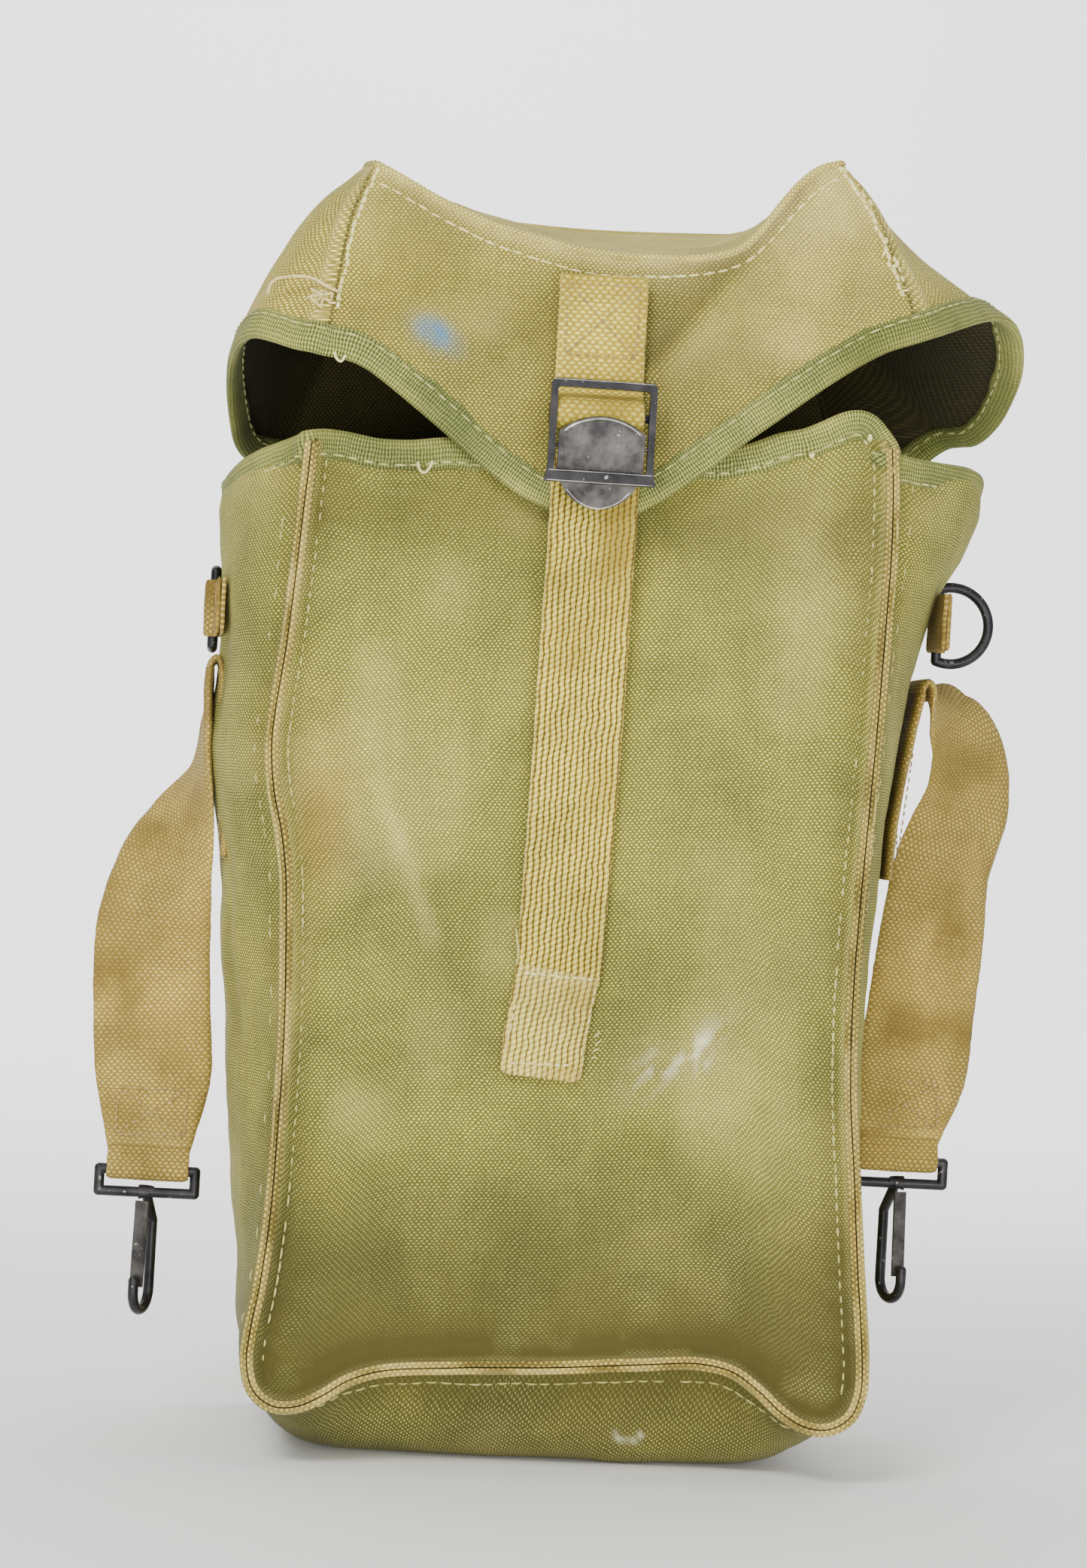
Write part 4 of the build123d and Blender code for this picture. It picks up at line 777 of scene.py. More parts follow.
# ---- seam stitching
iw = slice(None)
so = U_front[2:-2]
son = outward(U_front)[2:-2]
inner_line = np.stack([so[:, 0] - son[:, 0] * 3.9, np.full(len(so), 0.0), so[:, 1] - son[:, 1] * 3.9], 1)
inner_line[:, 1] = [front_y(px, pz) for px, pz in inner_line[:, [0, 2]]]
side_ls = []
for sgn_, sd in ((-1, 3), (1, 13)):
    keep = (inner_line[:, 0] * sgn_ > 74) & (inner_line[:, 2] > 27)
    q = inner_line[keep]
    side_ls.append(stitches(f"stitch_front_{sd}", q, np.stack([np.full(len(q), -0.45 * sgn_), np.full(len(q), -0.9), np.zeros(len(q))], 1), thread_olive, pitch=3.9, run=3.2, r=0.38, lift=0.72, seed=sd, drop=0.05))
st1 = merge("stitch_front_a", side_ls)
# stitching on the bottom strip just behind the front seam
kb = (np.abs(U_front[:, 0]) < 84) & (U_front[:, 1] < 45)
ib = np.where(kb)[0]
jrow = int(np.argmin(np.abs(ys + 52.6)))
bl_pts = S3[ib, jrow]
st2 = stitches("stitch_front_b", bl_pts, (0, -0.85, -0.5), thread_olive, pitch=4.2, run=3.2, r=0.36, lift=0.72, seed=4, drop=0.05)
jr2 = int(np.argmin(np.abs(ys - 49.5)))
st3_parts = []
for sd_, sg_ in ((np.where(left)[0][3:-6], -1.0), (np.where(right)[0][6:-3], 1.0)):
    st3_parts.append(stitches(f"stitch_back_b{sg_}", S3[sd_, jr2], (sg_, 0.2, 0), thread_olive, pitch=4.2, run=3.2, r=0.36, lift=0.72, seed=5, drop=0.1))
st3 = merge("stitch_back_b", st3_parts)
jr3 = int(np.argmin(np.abs(ys + 51.0)))
isl = np.where(left)[0][3:-2]
isr = np.where(right)[0][2:-3]
st4 = stitches("stitch_side_l", S3[isl, jr3], (-0.9, -0.3, 0), thread_olive, pitch=4.2, run=3.2, r=0.36, lift=0.72, seed=6, drop=0.6)
st5 = stitches("stitch_side_r", S3[isr, jr3], (0.9, -0.3, 0), thread_olive, pitch=4.2, run=3.2, r=0.36, lift=0.72, seed=7, drop=0.6)
sob = np.vstack([bl2, bb2[1:], br2[1:]])[3:-3]
nob = outward(np.vstack([bl2, bb2[1:], br2[1:]]))[3:-3]
bk = np.stack([sob[:, 0] - nob[:, 0] * 4, np.zeros(len(sob)), sob[:, 1] - nob[:, 1] * 4], 1)
for i in range(len(bk)):
    kk = ((XB - bk[i, 0]) ** 2 + (ZB - bk[i, 2]) ** 2).argmin()
    bk[i, 1] = yb.ravel()[kk]
st6 = stitches("stitch_back_a", bk, (0, 1, 0), thread_olive, pitch=4.3, run=3.2, r=0.36, lift=0.72, seed=8, drop=0.08)
seam_thread = merge("seam_stitching", [st1, st2, st3, st4, st5, st6])
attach(seam_thread, "bag")

# ---- mouth binding
tape_prof = [(0.9, -8.6), (1.55, -8.2), (1.7, -6.4), (1.75, -3.6), (1.6, -1.4), (1.15, -0.2), (0.45, 0.4), (-0.45, 0.4), (-1.15, -0.2), (-1.6, -1.4), (-1.75, -3.6), (-1.7, -6.4), (-1.55, -8.2), (-0.9, -8.6), (0, -8.8)]


def binding(name, p, N, D, body, seed, mat=tape, height=1.0, thick=1.0):
    """Folded tape over an edge: p the edge, N across the cloth (outward), D from the edge into the cloth."""
    p = np.asarray(p, float)
    s = np.concatenate([[0], np.cumsum(np.linalg.norm(np.diff(p, axis=0), axis=1))])
    k = len(tape_prof)
    prof = np.array(tape_prof)
    nn = len(p)
    hj = 1 + 0.05 * vnoise(s / 9, s * 0, seed) + 0.03 * vnoise(s / 3, s * 0, seed + 1)
    V = np.zeros((nn, k, 3))
    for j in range(k):
        low = smooth((-prof[j, 1] - 4) / 5)
        wave = 1 + low * 0.22 * vnoise(s / 5.0, s * 0 + j * 0.05, seed + 2)
        V[:, j] = p + N * (prof[j, 0] * thick * wave)[:, None] - D * (prof[j, 1] * height * (hj if prof[j, 1] < 0 else 1))[:, None] if prof[j, 1] < 0 else p + N * (prof[j, 0] * thick) - D * prof[j, 1]
    idx = np.arange(nn * k).reshape(nn, k)
    F = []
    for i in range(nn - 1):
        for j in range(k):
            j2 = (j + 1) % k
            F.append((idx[i, j], idx[i + 1, j], idx[i + 1, j2], idx[i, j2]))
    F.append(tuple(idx[0])); F.append(tuple(idx[-1][::-1]))
    pl = np.concatenate([[0], np.cumsum(np.linalg.norm(np.diff(prof, axis=0), axis=1))])
    wv = np.stack([np.repeat(s, k), np.tile(pl, nn), np.zeros(nn * k)], 1)
    topw = np.tile(np.where(prof[:, 1] > -1.5, 0.55, 0.0), nn) * (0.5 + 0.5 * np.repeat(vnoise(s / 14, s * 0, seed + 5), k)) + np.repeat(np.clip(vnoise(s / 20, s * 0, seed + 6), 0, 1) * 0.25, k)
    ob = make(name, V.reshape(-1, 3), F, mat, {"wv": wv, "wear_and_light": np.clip(topw, 0, 1), "grime_and_shade": np.repeat(np.clip(vnoise(s / 30, s * 0, seed + 8), 0, 1) * 0.6, k)})
    if body:
        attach(ob, body)
    return ob


hem_front = np.stack([top[:, 0], np.interp(top[:, 0], P[:, -1, 0], P[:, -1, 1]), top[:, 1]], 1)
jmask = (ys > -56.5) & (ys < 52.5)
hem_left = S3[0][jmask][::-1]
hem_right = S3[-1][jmask]
up = np.array([0, 0, 1.0])
mouth_obs, mouth_sts = [], []
for tag, pts, seed in (("a", np.vstack([hem_left[:-2], [[-88.4, -57.4, 301.4]], hem_front[2:-1], [[86.6, -56.6, 309.6], [87.6, -55.4, 307.6]]]), 200),
                       ("b", np.vstack([[[87.4, -53.6, 306.4]], hem_right[2:]]), 210)):
    mp = path(pts, step=1.6)
    for _ in range(3):
        mp[1:-1] = (mp[:-2] + 2 * mp[1:-1] + mp[2:]) / 4
    T = np.gradient(mp, axis=0); T /= np.linalg.norm(T, axis=1, keepdims=True)
    Dn = np.broadcast_to(-up, mp.shape) + T * T[:, 2:3]
    # on the sides the cloth below the hem slopes inwards
    side_amt = smooth((mp[:, 1] + 50) / 20)
    Dn = Dn + np.stack([np.where(mp[:, 0] < 0, 0.22, -0.60) * side_amt, np.zeros(len(mp)), np.zeros(len(mp))], 1)
    Dn /= np.linalg.norm(Dn, axis=1, keepdims=True)
    Nn = np.cross(T, Dn); Nn /= np.linalg.norm(Nn, axis=1, keepdims=True)
    mouth_obs.append(binding("mouth_tape_" + tag, mp - Dn * 1.2, Nn, Dn, None, seed))
    outw = (-Nn[:, 1] * (np.abs(mp[:, 0]) < 86)).sum() + (np.sign(mp[:, 0]) * Nn[:, 0] * (np.abs(mp[:, 0]) >= 86)).sum()
    sg = 1.0 if outw > 0 else -1.0
    mouth_sts.append(stitches("mouth_st_" + tag, mp + Dn * 5.9 + Nn * sg * 1.55, Nn * sg, thread_olive, pitch=4.6, run=3.3, r=0.36, lift=0.25, seed=seed + 1, drop=0.05))
mb_ob = merge("mouth_binding_tape", mouth_obs)
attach(mb_ob, "bag"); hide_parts("mouth_binding")
stm = merge("mouth_binding_stitches", mouth_sts)
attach(stm, "bag")

# ------------------------------------------------------------------ the flap
AL, AR = np.array([-71.6, -52.0, 383.0]), np.array([66.4, -53.0, 392.6])
ridge = path([AL, (-62.7, -53, 378.6), (-54.1, -53.6, 374.2), (-45, -54, 370.2), (-35, -54.4, 366.6), (-22.9, -54.8, 363.8), (-8, -55, 361.0), (9, -55.2, 360.4), (26, -55, 361.4), (37, -54.8, 364.6), (43.4, -54.6, 370.6),
              (49.4, -54.2, 379.0), (54.6, -53.8, 385.6), (60.4, -53.4, 390.6), AR], n=int(150 / STEP))
BL, BR = np.array([-69.0, 55.0, 385.0]), np.array([66.0, 55.0, 386.0])
backridge = path([BL, (-40, 55.6, 384.6), (0, 55.6, 383.2), (35, 55.6, 384.2), BR], n=len(ridge))
CL = np.array([-83.4, -58.2, 326.6])   # left corner seam's foot on the hem
CR = np.array([90.4, -57.6, 341.8])
seamL = path([AL, (-74.2, -53.4, 376.1), (-77.0, -54.6, 368.4), (-78.8, -55.6, 360.3), (-79.8, -56.4, 353.0), (-81.0, -57.0, 345.0), (-82.2, -57.6, 336.4), CL], n=int(60 / STEP) + 8)
seamR = path([AR, (72.0, -53.6, 386.0), (76.4, -54.2, 379.6), (80.0, -55.2, 372.4), (82.9, -56, 365.1), (86.0, -56.8, 358.4), (88.4, -57.2, 352.2), CR], n=len(seamL))
hemF = path([CL, (-76.4, -58.8, 325.6), (-71.0, -59, 323.6), (-65.6, -59.2, 320.2), (-56.5, -59.4, 313.6), (-45.7, -59.8, 305.4), (-34.8, -60, 296.8), (-24, -60, 289.6), (-14, -60, 285.4), (-5, -60, 283.2), (3, -60, 283.4), (12, -60, 287.0), (22, -60, 293.6), (32, -60, 301.4),
             (42, -60, 309.6), (52, -60, 317.4), (64, -60, 326.8), (74.5, -59.4, 334.2), (82.6, -58.6, 338.8), CR], n=int(212 / STEP))
apron = coons(path(ridge, n=len(hemF)), hemF, seamL, seamR)
XA, YA, ZA = apron[..., 0].copy(), apron[..., 1].copy(), apron[..., 2].copy()
rim = np.minimum(np.minimum(np.linspace(0, 1, apron.shape[0])[:, None], 1 - np.linspace(0, 1, apron.shape[0])[:, None]) * 150, np.minimum(np.linspace(0, 1, apron.shape[1])[None], 1 - np.linspace(0, 1, apron.shape[1])[None]) * 70)
inn = smooth(rim / 16)
YA += inn * (wrinkle(XA, ZA, 310, 0.9, 0.6, 0.2) * 0.9 - 0.4)
# soft folds fanning from the buckle up to the corners
for ang, amp, wdt in ((0.62, 1.0, 5.0), (0.30, 0.7, 6.0), (2.50, 0.9, 5.0), (2.82, 0.7, 6.0)):
    dx, dz = XA + 2, ZA - 300
    off = -dx * math.sin(ang) + dz * math.cos(ang)
    alongf = dx * math.cos(ang) + dz * math.sin(ang)
    YA += amp * np.exp(-(off / wdt) ** 2) * smooth((alongf - 20) / 25) * inn
cd = (XA - 4) * 0.785 - (ZA - 318) * 0.62     # distance to the right of the crease
YA -= inn * (4.0 * smooth((cd + 3) / 6) * np.exp(-np.clip(cd, 0, None) / 40)) * smooth((ZA - 312) / 22)
cd2 = -(XA + 6) * 0.70 - (ZA - 318) * 0.71
YA -= inn * (1.3 * smooth((cd2 + 6) / 12) * np.exp(-np.clip(cd2, 0, None) / 30)) * smooth((ZA - 318) / 22)
YA = np.minimum(YA, -57.2 - 0 * YA) * inn + YA * (1 - inn)
apron = np.stack([XA, YA, ZA], 2)
ui = np.linspace(0, 1, apron.shape[0])[:, None] + 0 * XA
vi = np.linspace(0, 1, apron.shape[1])[None] + 0 * XA
wear_and_light_a = 0.75 * np.exp(-(vi * 75 / 3.5) ** 2) + 0.30 * smooth((ZA - 345) / 40) + 0.6 * np.exp(-(((XA - 66) / 12) ** 2 + ((ZA - 385) / 12) ** 2))
wear_and_light_a += np.clip(vnoise(XA / 18, ZA / 20, 331) - 0.2, 0, 1) * 0.4
# painted light: the face right of the crease, which turns towards the light, is made paler
wear_and_light_a += 0.45 * smooth(cd / 6) * np.exp(-np.clip(cd, 0, None) / 34) * smooth((ZA - 318) / 18)
blue = np.clip(1.5 * np.exp(-((((XA + 51.5) * 0.86 + (ZA - 333.5) * -0.51) / 5.6) ** 2 + (((XA + 51.5) * 0.51 + (ZA - 333.5) * 0.86) / 3.4) ** 2)), 0, 1)
flap_front_ob = shell("flap_front_canvas", apron, 1.3, canvas_flap, wv=(XA + 100, ZA), flip=True, attrs={"shade": np.clip(0.85 * smooth((cd + 34) / 34) * smooth((3 - cd) / 5) * smooth((XA - 6) / 8) + 0.28 * smooth((345 - ZA) / 40) + 0.3 * np.clip(vnoise(XA / 26, ZA / 22, 171), -0.2, 1), 0, 1), "wear_and_light": np.clip(wear_and_light_a, 0, 1), "blue": blue, "grime_and_shade": np.clip(vnoise(XA / 30, ZA / 24, 341), 0, 1) * 0.5})
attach(flap_front_ob, "flap"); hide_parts("flap_front")

# top of the flap: sags between the corners
side_t = int(112 / (STEP * 1.2))
tl = path([AL, (-73, -20, 387.0), (-72, 20, 386.4), BL], n=side_t)
tr = path([AR, (69, -20, 391.0), (68, 20, 388.0), BR], n=side_t)
topS = coons(ridge, backridge, tl, tr)
XT, YT = topS[..., 0], topS[..., 1]
uu = np.linspace(0, 1, topS.shape[0])[:, None] + 0 * XT
vv = np.linspace(0, 1, topS.shape[1])[None] + 0 * XT
inn = smooth(np.minimum(np.minimum(uu, 1 - uu) * 140, np.minimum(vv, 1 - vv) * 105) / 20)
topS[..., 2] += inn * (wrinkle(XT, YT, 350, 1.6, 0.9, 0.25) - 1.0)
wearT = 0.8 * np.exp(-(vv * 105 / 3) ** 2) + 0.3 + np.clip(vnoise(XT / 18, YT / 20, 355), 0, 1) * 0.3
flap_top_ob = shell("flap_top_canvas", topS, 1.3, canvas_flap, wv=(XT + 100, YT + 60), attrs={"wear_and_light": np.clip(wearT, 0, 1), "blue": XT * 0, "grime_and_shade": XT * 0})
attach(flap_top_ob, "flap"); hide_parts("flap_top")

# wings
FL, FR = np.array([-94.0, 57.0, 302.6]), np.array([94.0, 57.0, 302.6])
hemL = path([CL, (-91.0, -55.6, 328.0), (-98.0, -50, 330.4), (-103.8, -42, 332.2), (-108.0, -27, 331.4), (-110.2, -8, 328.0), (-110.4, 10, 321.4), (-109.0, 26, 313.0), (-106.6, 40, 306.0), (-101.5, 51, 302.6), FL], n=int(150 / STEP))
hemR = path([CR, (99.0, -51.5, 345.4), (107.6, -42.6, 349.4), (115.6, -33, 352.8), (123.0, -22, 354.6), (129.8, -11, 353.2), (134.2, 0, 348.6), (136.6, 11, 341.6), (136.6, 22, 335.0), (134.6, 34, 327.6), (130.0, 43, 322.6),
             (122.5, 49.5, 321.6), (112.0, 54.5, 313.0), (102.0, 56.4, 305.0), FR], n=len(hemL) + 20)
bkL = path([BL, (-75.0, 56.0, 362.0), (-84.0, 56.6, 330.0), FL], n=len(seamL))
bkR = path([BR, (72.0, 56.0, 362.0), (83.0, 56.6, 330.0), FR], n=len(seamL))


def wing(name, topline, hem, front_edge, back_edge, belly, seed, node, lightness):
    W = coons(path(topline, n=len(hem)), hem, front_edge, back_edge)
    N = normals(W)
    c = W.mean((0, 1))
    if (N * (W - np.array([0, 0, c[2]]))).sum() < 0:
        N = -N
    u = np.linspace(0, 1, W.shape[0])[:, None]; v = np.linspace(0, 1, W.shape[1])[None]
    b = belly * 4 * (u * (1 - u)) * (v * (1 - v)) * 4
    inn = smooth(np.minimum(np.minimum(u, 1 - u) * 120, np.minimum(v, 1 - v) * 70) / 14)
    W = W + N * (b + inn * wrinkle(W[..., 1], W[..., 2], seed, 1.4, 0.8, 0.25))[..., None]
    # a fold that stands along the front corner seam
    W = W + N * (1.1 * np.exp(-((u * 130 - 4.5) / 2.6) ** 2) * smooth(v * 6) + 0 * W[..., 0])[..., None]
    fl = (np.cross(np.gradient(W, axis=0), np.gradient(W, axis=1)) * N).sum() < 0
    wear_and_light = 0.75 * np.exp(-(v * 75 / 3.5) ** 2) + 0.22 * lightness + 0 * W[..., 0] + 0.5 * np.exp(-((u * 130 - 4.5) / 2.2) ** 2)
    wear_and_light = wear_and_light + np.clip(vnoise(W[..., 1] / 16, W[..., 2] / 18, seed + 9) - 0.1, 0, 1) * 0.35
    ob = shell(name, W, 1.3, canvas_flap, wv=(W[..., 1] + 60, W[..., 2]), flip=bool(fl), attrs={"wear_and_light": np.clip(wear_and_light, 0, 1), "blue": W[..., 0] * 0, "grime_and_shade": smooth((W[..., 1] + 30) / 60) * 0.5})
    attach(ob, "flap"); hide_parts(node)
    return W, ob


WL, wl_ob = wing("flap_wing_left_canvas", tl, hemL, seamL, bkL, 5.0, 360, "flap_wing_left", 0.6)
WR, wr_ob = wing("flap_wing_right_canvas", tr, hemR, seamR, bkR, -3.5, 380, "flap_wing_right", 0.6)

# back of the flap
botB = path([FL, (-50, 57.2, 303.2), (0, 57.4, 303.4), (50, 57.2, 303.2), FR], n=len(backridge))
bkS = coons(backridge, botB, bkL, bkR)
XK, ZK = bkS[..., 0], bkS[..., 2]
bkS[..., 1] += wrinkle(XK, ZK, 400, 1.3, 0.7, 0.2) * smooth(np.minimum(ZK - 303, 385 - ZK) / 38) * 0.8
bk_ob = shell("flap_back_canvas", bkS, 1.3, canvas_flap, wv=(XK + 100, ZK), attrs={"wear_and_light": 0.35 * np.exp(-((ZK - 385) / 4) ** 2) + np.clip(vnoise(XK / 20, ZK / 20, 405), 0, 1) * 0.3, "blue": XK * 0, "grime_and_shade": XK * 0})
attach(bk_ob, "flap"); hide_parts("flap_back")

# the fold line: a short band of canvas that bends between bag and flap
hx = np.linspace(-88, 88, int(176 / (STEP * 1.3)))
hz = np.linspace(296.5, 307.5, 13)
HX, HZ = np.meshgrid(hx, hz, indexing="ij")
HY = 55.9 + 2.8 * smooth((HZ - 296.5) / 7) + 0.08 * vnoise(HX / 6, HZ / 30, 420)
hinge_ob = shell("flap_fold_canvas", np.stack([HX, HY, HZ], 2), 0.9, canvas, wv=(HX + 100, HZ), flip=True, attrs={"wear_and_light": 0.3 + 0 * HX, "grime_and_shade": HX * 0, "chalk": HX * 0, "rust": HX * 0, "blue": HX * 0})
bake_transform(hinge_ob)


# flap bindings: down the left wing, along the front and up the right wing
def tape_frame(pts, inner_pts):
    T = np.gradient(pts, axis=0); T /= np.linalg.norm(T, axis=1, keepdims=True)
    D = inner_pts - pts
    D -= T * (D * T).sum(1, keepdims=True)
    D /= np.linalg.norm(D, axis=1, keepdims=True)
    N = np.cross(T, D); N /= np.linalg.norm(N, axis=1, keepdims=True)
    return T, D, N


kv = 6
# full hem as one line from the left back corner to the right back corner
line = np.vstack([WL[::-1, -1], apron[1:-1, -1], WR[:, -1]])
inside = np.vstack([WL[::-1, -1 - kv], apron[1:-1, -1 - kv], WR[:, -1 - kv]])
hp = path(line[::3], step=1.6)
sl = np.concatenate([[0], np.cumsum(np.linalg.norm(np.diff(line, axis=0), axis=1))])
sh = np.concatenate([[0], np.cumsum(np.linalg.norm(np.diff(hp, axis=0), axis=1))])
wq = sh / sh[-1] * sl[-1]
ins = np.stack([np.interp(wq, sl, inside[:, q]) for q in range(3)], 1)
lin_pts = np.stack([np.interp(wq, sl, line[:, q]) for q in range(3)], 1)
kern = np.ones(9) / 9
D = ins - lin_pts
for q in range(3):
    D[:, q] = np.convolve(np.pad(D[:, q], 4, mode="edge"), kern, mode="valid")
Th, Dh, Nh = tape_frame(hp, hp + D)
fb_ob = binding("flap_binding_tape", hp - Dh * 1.0, Nh, Dh, "flap", 230, height=1.0, thick=0.95)
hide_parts("flap_binding_front", "flap_binding_left", "flap_binding_right")
mid_i = len(hp) // 2
sgn = -np.sign(Nh[mid_i, 1])
stb = stitches("flap_binding_stitches", hp + Dh * 6.0 + Nh * sgn * 1.45, Nh * sgn, thread_olive, pitch=4.6, run=3.2, r=0.30, lift=0.25, seed=25, drop=0.05)
stb2 = stitches("flap_binding_stitches_in", hp + Dh * 6.0 - Nh * sgn * 1.45, -Nh * sgn, thread_olive, pitch=4.6, run=3.2, r=0.32, lift=0.25, seed=26, drop=0.05)
stb = merge("flap_binding_stitches", [stb, stb2])
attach(stb, "flap")

# ridge seam: a rolled edge along the front top, stitched just below
T, W_, U_ = frames_along(ridge, (0, -0.5, 0.85))
ridge_w = circle(1.25, 8) * np.array([1.0, 1.15])
rr = tube("flap_ridge_fold", ridge + U_ * 0.2, ridge_w, W_, U_, canvas_flap, attrs={"wear_and_light": np.full(len(ridge), 0.8), "blue": np.zeros(len(ridge)), "grime_and_shade": np.zeros(len(ridge))})
parts = [rr]
for pth, sd in ((tl, 1), (tr, 2), (bkL, 3), (bkR, 4)):
    c = pth.copy()
    T, W_, U_ = frames_along(c, (np.sign(c[0, 0]) * 0.7, 0.7 if sd > 2 else 0, 0 if sd > 2 else 0.7))
    parts.append(tube(f"fold{sd}", c + U_ * (1.0 if sd > 2 else 0.3), circle(1.15, 8), W_, U_, canvas_flap, attrs={"wear_and_light": np.full(len(c), 0.6), "blue": np.zeros(len(c)), "grime_and_shade": np.zeros(len(c))}))
T, W_, U_ = frames_along(backridge, (0, 0.6, 0.8))
parts.append(tube("fold5", backridge + U_ * 0.3, circle(1.15, 8), W_, U_, canvas_flap, attrs={"wear_and_light": np.full(len(backridge), 0.6), "blue": np.zeros(len(backridge)), "grime_and_shade": np.zeros(len(backridge))}))
folds = merge("flap_seam_folds", parts)
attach(folds, "flap")
row = apron[:, 4].copy()
k1 = stitches("ridge_st", row[2:-2], (0, -1, 0.1), thread, pitch=4.4, run=3.6, r=0.36, lift=0.72, seed=31)
# heavy corner seam stitching, close and uneven
cut = int(len(seamL) * 0.83)
c1 = stitches("corner_l", seamL[:cut] + np.array([1.2, 0, 0]), (0.1, -1, 0.05), thread, pitch=2.5, run=2.5, r=0.62, lift=0.75, wob=0.35, seed=33)
c2 = stitches("corner_r", seamR[:cut] + np.array([-1.2, 0, 0]), (-0.1, -1, 0.05), thread, pitch=2.3, run=2.4, r=0.72, lift=0.75, wob=0.45, seed=34)
c3 = stitches("corner_r2", seamR[:cut] + np.array([0.2, -0.1, 0.3]), (-0.1, -1, 0.05), thread, pitch=3.1, run=2.0, r=0.5, lift=0.8, wob=0.5, seed=35, drop=0.25)
kk = merge("flap_stitching", [k1, c1, c2, c3])
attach(kk, "flap")


declare(P, (10.0, 10.0))
declare(S3, (0.0, 0.0))
declare(PB, (10.0, 10.0))
declare(apron)
declare(topS)
declare(WL)
declare(WR)
declare(bkS)
declare(np.stack([HX, HY, HZ], 2))


# ------------------------------------------------------------------ webbing
def web_prof(w, t, k=22):
    """Cross-section of webbing: flat faces, rounded selvedges."""
    s = np.linspace(-1, 1, k)
    e = np.sqrt(np.clip(1 - np.abs(s) ** 14, 0.02, 1))
    up_ = np.stack([s * w / 2, e * t / 2], 1)
    dn = np.stack([s[::-1] * w / 2, -e[::-1] * t / 2], 1)
    return np.vstack([up_, dn])


def ribbon(name, p, N, w, t, mat, body, wear_and_light=None, seed=0, wavy=0.15, grime_and_shade=0.2, do_ride=True):
    """Webbing along p; N the face normal per point; w a width or one per point."""
    p = np.asarray(p, float)
    n = len(p)
    T = np.gradient(p, axis=0); T /= np.maximum(np.linalg.norm(T, axis=1, keepdims=True), 1e-9)
    N = np.broadcast_to(np.asarray(N, float), p.shape).copy()
    N -= T * (N * T).sum(1, keepdims=True); N /= np.maximum(np.linalg.norm(N, axis=1, keepdims=True), 1e-9)
    Wd = np.cross(N, T)
    w = np.broadcast_to(np.asarray(w, float), (n,))
    base = web_prof(1.0, 1.0)
    k = len(base)
    s = np.concatenate([[0], np.cumsum(np.linalg.norm(np.diff(p, axis=0), axis=1))])
    tt_ = np.broadcast_to(np.asarray(t, float), (n,))
    V = p[:, None] + Wd[:, None] * (base[None, :, :1] * w[:, None, None]) + N[:, None] * (base[None, :, 1:] * tt_[:, None, None])
    wob = wavy * vnoise(s[:, None] / 6.0, base[None, :, 0] * 3.0, seed)
    V += N[:, None] * wob[..., None]
    V += Wd[:, None] * (0.12 * vnoise(s / 2.2, s * 0, seed + 4))[:, None, None] * np.sign(base[None, :, :1])
    idx = np.arange(n * k).reshape(n, k)
    a = idx[:-1]; b = idx[1:]
    F = np.stack([a.ravel(), np.roll(a, -1, 1).ravel(), np.roll(b, -1, 1).ravel(), b.ravel()], 1).tolist()
    F.append(tuple(idx[0][::-1])); F.append(tuple(idx[-1]))
    uc = base[None, :, 0] * w[:, None] + 50
    wv = np.stack([uc.ravel(), np.repeat(s, k), np.zeros(n * k)], 1)
    edge_w = np.tile(np.exp(-((1 - np.abs(base[:, 0]) * 2) / 0.05) ** 2) * 0.5, n)
    wr = edge_w + (np.repeat(np.asarray(wear_and_light, float), k) if wear_and_light is not None else 0)
    gr = np.clip(vnoise(wv[:, 1] / 14, wv[:, 0] / 14, seed + 7), 0, 1) * 0.6 + grime_and_shade
    ob = make(name, V.reshape(-1, 3), F, mat, {"wv": wv, "wear_and_light": np.clip(wr, 0, 1), "grime_and_shade": np.clip(gr, 0, 1)})
    if do_ride:
        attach(ob, body)
    return ob


def rect_st(name, c, ax, az, w, h, nrm, mat, seed, cross=False, pitch=2.6, run=1.8, r=0.34):
    """Box stitching, with a cross when asked."""
    c, ax, az = np.array(c, float), np.array(ax, float), np.array(az, float)
    q = [c + ax * sx * w / 2 + az * sz * h / 2 for sx, sz in ((-1, -1), (1, -1), (1, 1), (-1, 1), (-1, -1))]
    obs = []
    for i in range(4):
        obs.append(stitches(f"{name}{i}", np.linspace(q[i], q[i + 1], 12), nrm, mat, pitch, run, r, lift=0.1, seed=seed + i))
    if cross:
        obs.append(stitches(f"{name}x", np.linspace(q[0], q[2], 12), nrm, mat, pitch, run, r, lift=0.1, seed=seed + 5))
        obs.append(stitches(f"{name}y", np.linspace(q[1], q[3], 12), nrm, mat, pitch, run, r, lift=0.1, seed=seed + 6))
    return merge(name, obs)


# webbing on the flap, doubled, looped round the buckle's axle
yz = [(-60.7, 353.0), (-60.9, 335.0), (-61.3, 322.0), (-62.6, 314.0), (-64.4, 309.6), (-67.0, 308.2), (-69.9, 309.6), (-71.0, 312.4), (-69.9, 315.4), (-67.2, 316.8), (-64.8, 318.0), (-63.1, 321.0), (-62.6, 328.0), (-62.4, 340.0), (-62.2, 353.6)]
cx = -3.0
p = path([(cx + (353 - z) * 0.004, yy, z) for yy, z in yz], step=1.0)
T = np.gradient(p, axis=0); T /= np.linalg.norm(T, axis=1, keepdims=True)
Nw = np.cross(T, np.array([1.0, 0, 0]))
fs = ribbon("flap_strap_webbing", p, Nw, 26.0, 1.35, web, "flap", seed=501, wavy=0.12)
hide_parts("flap_strap")
sq = rect_st("flap_strap_box", (cx, -63.0, 340.5), (1, 0, 0), (0, 0.02, 1), 21, 21, (0, -1, 0), thread_web, 510, cross=True)
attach(sq, "flap")

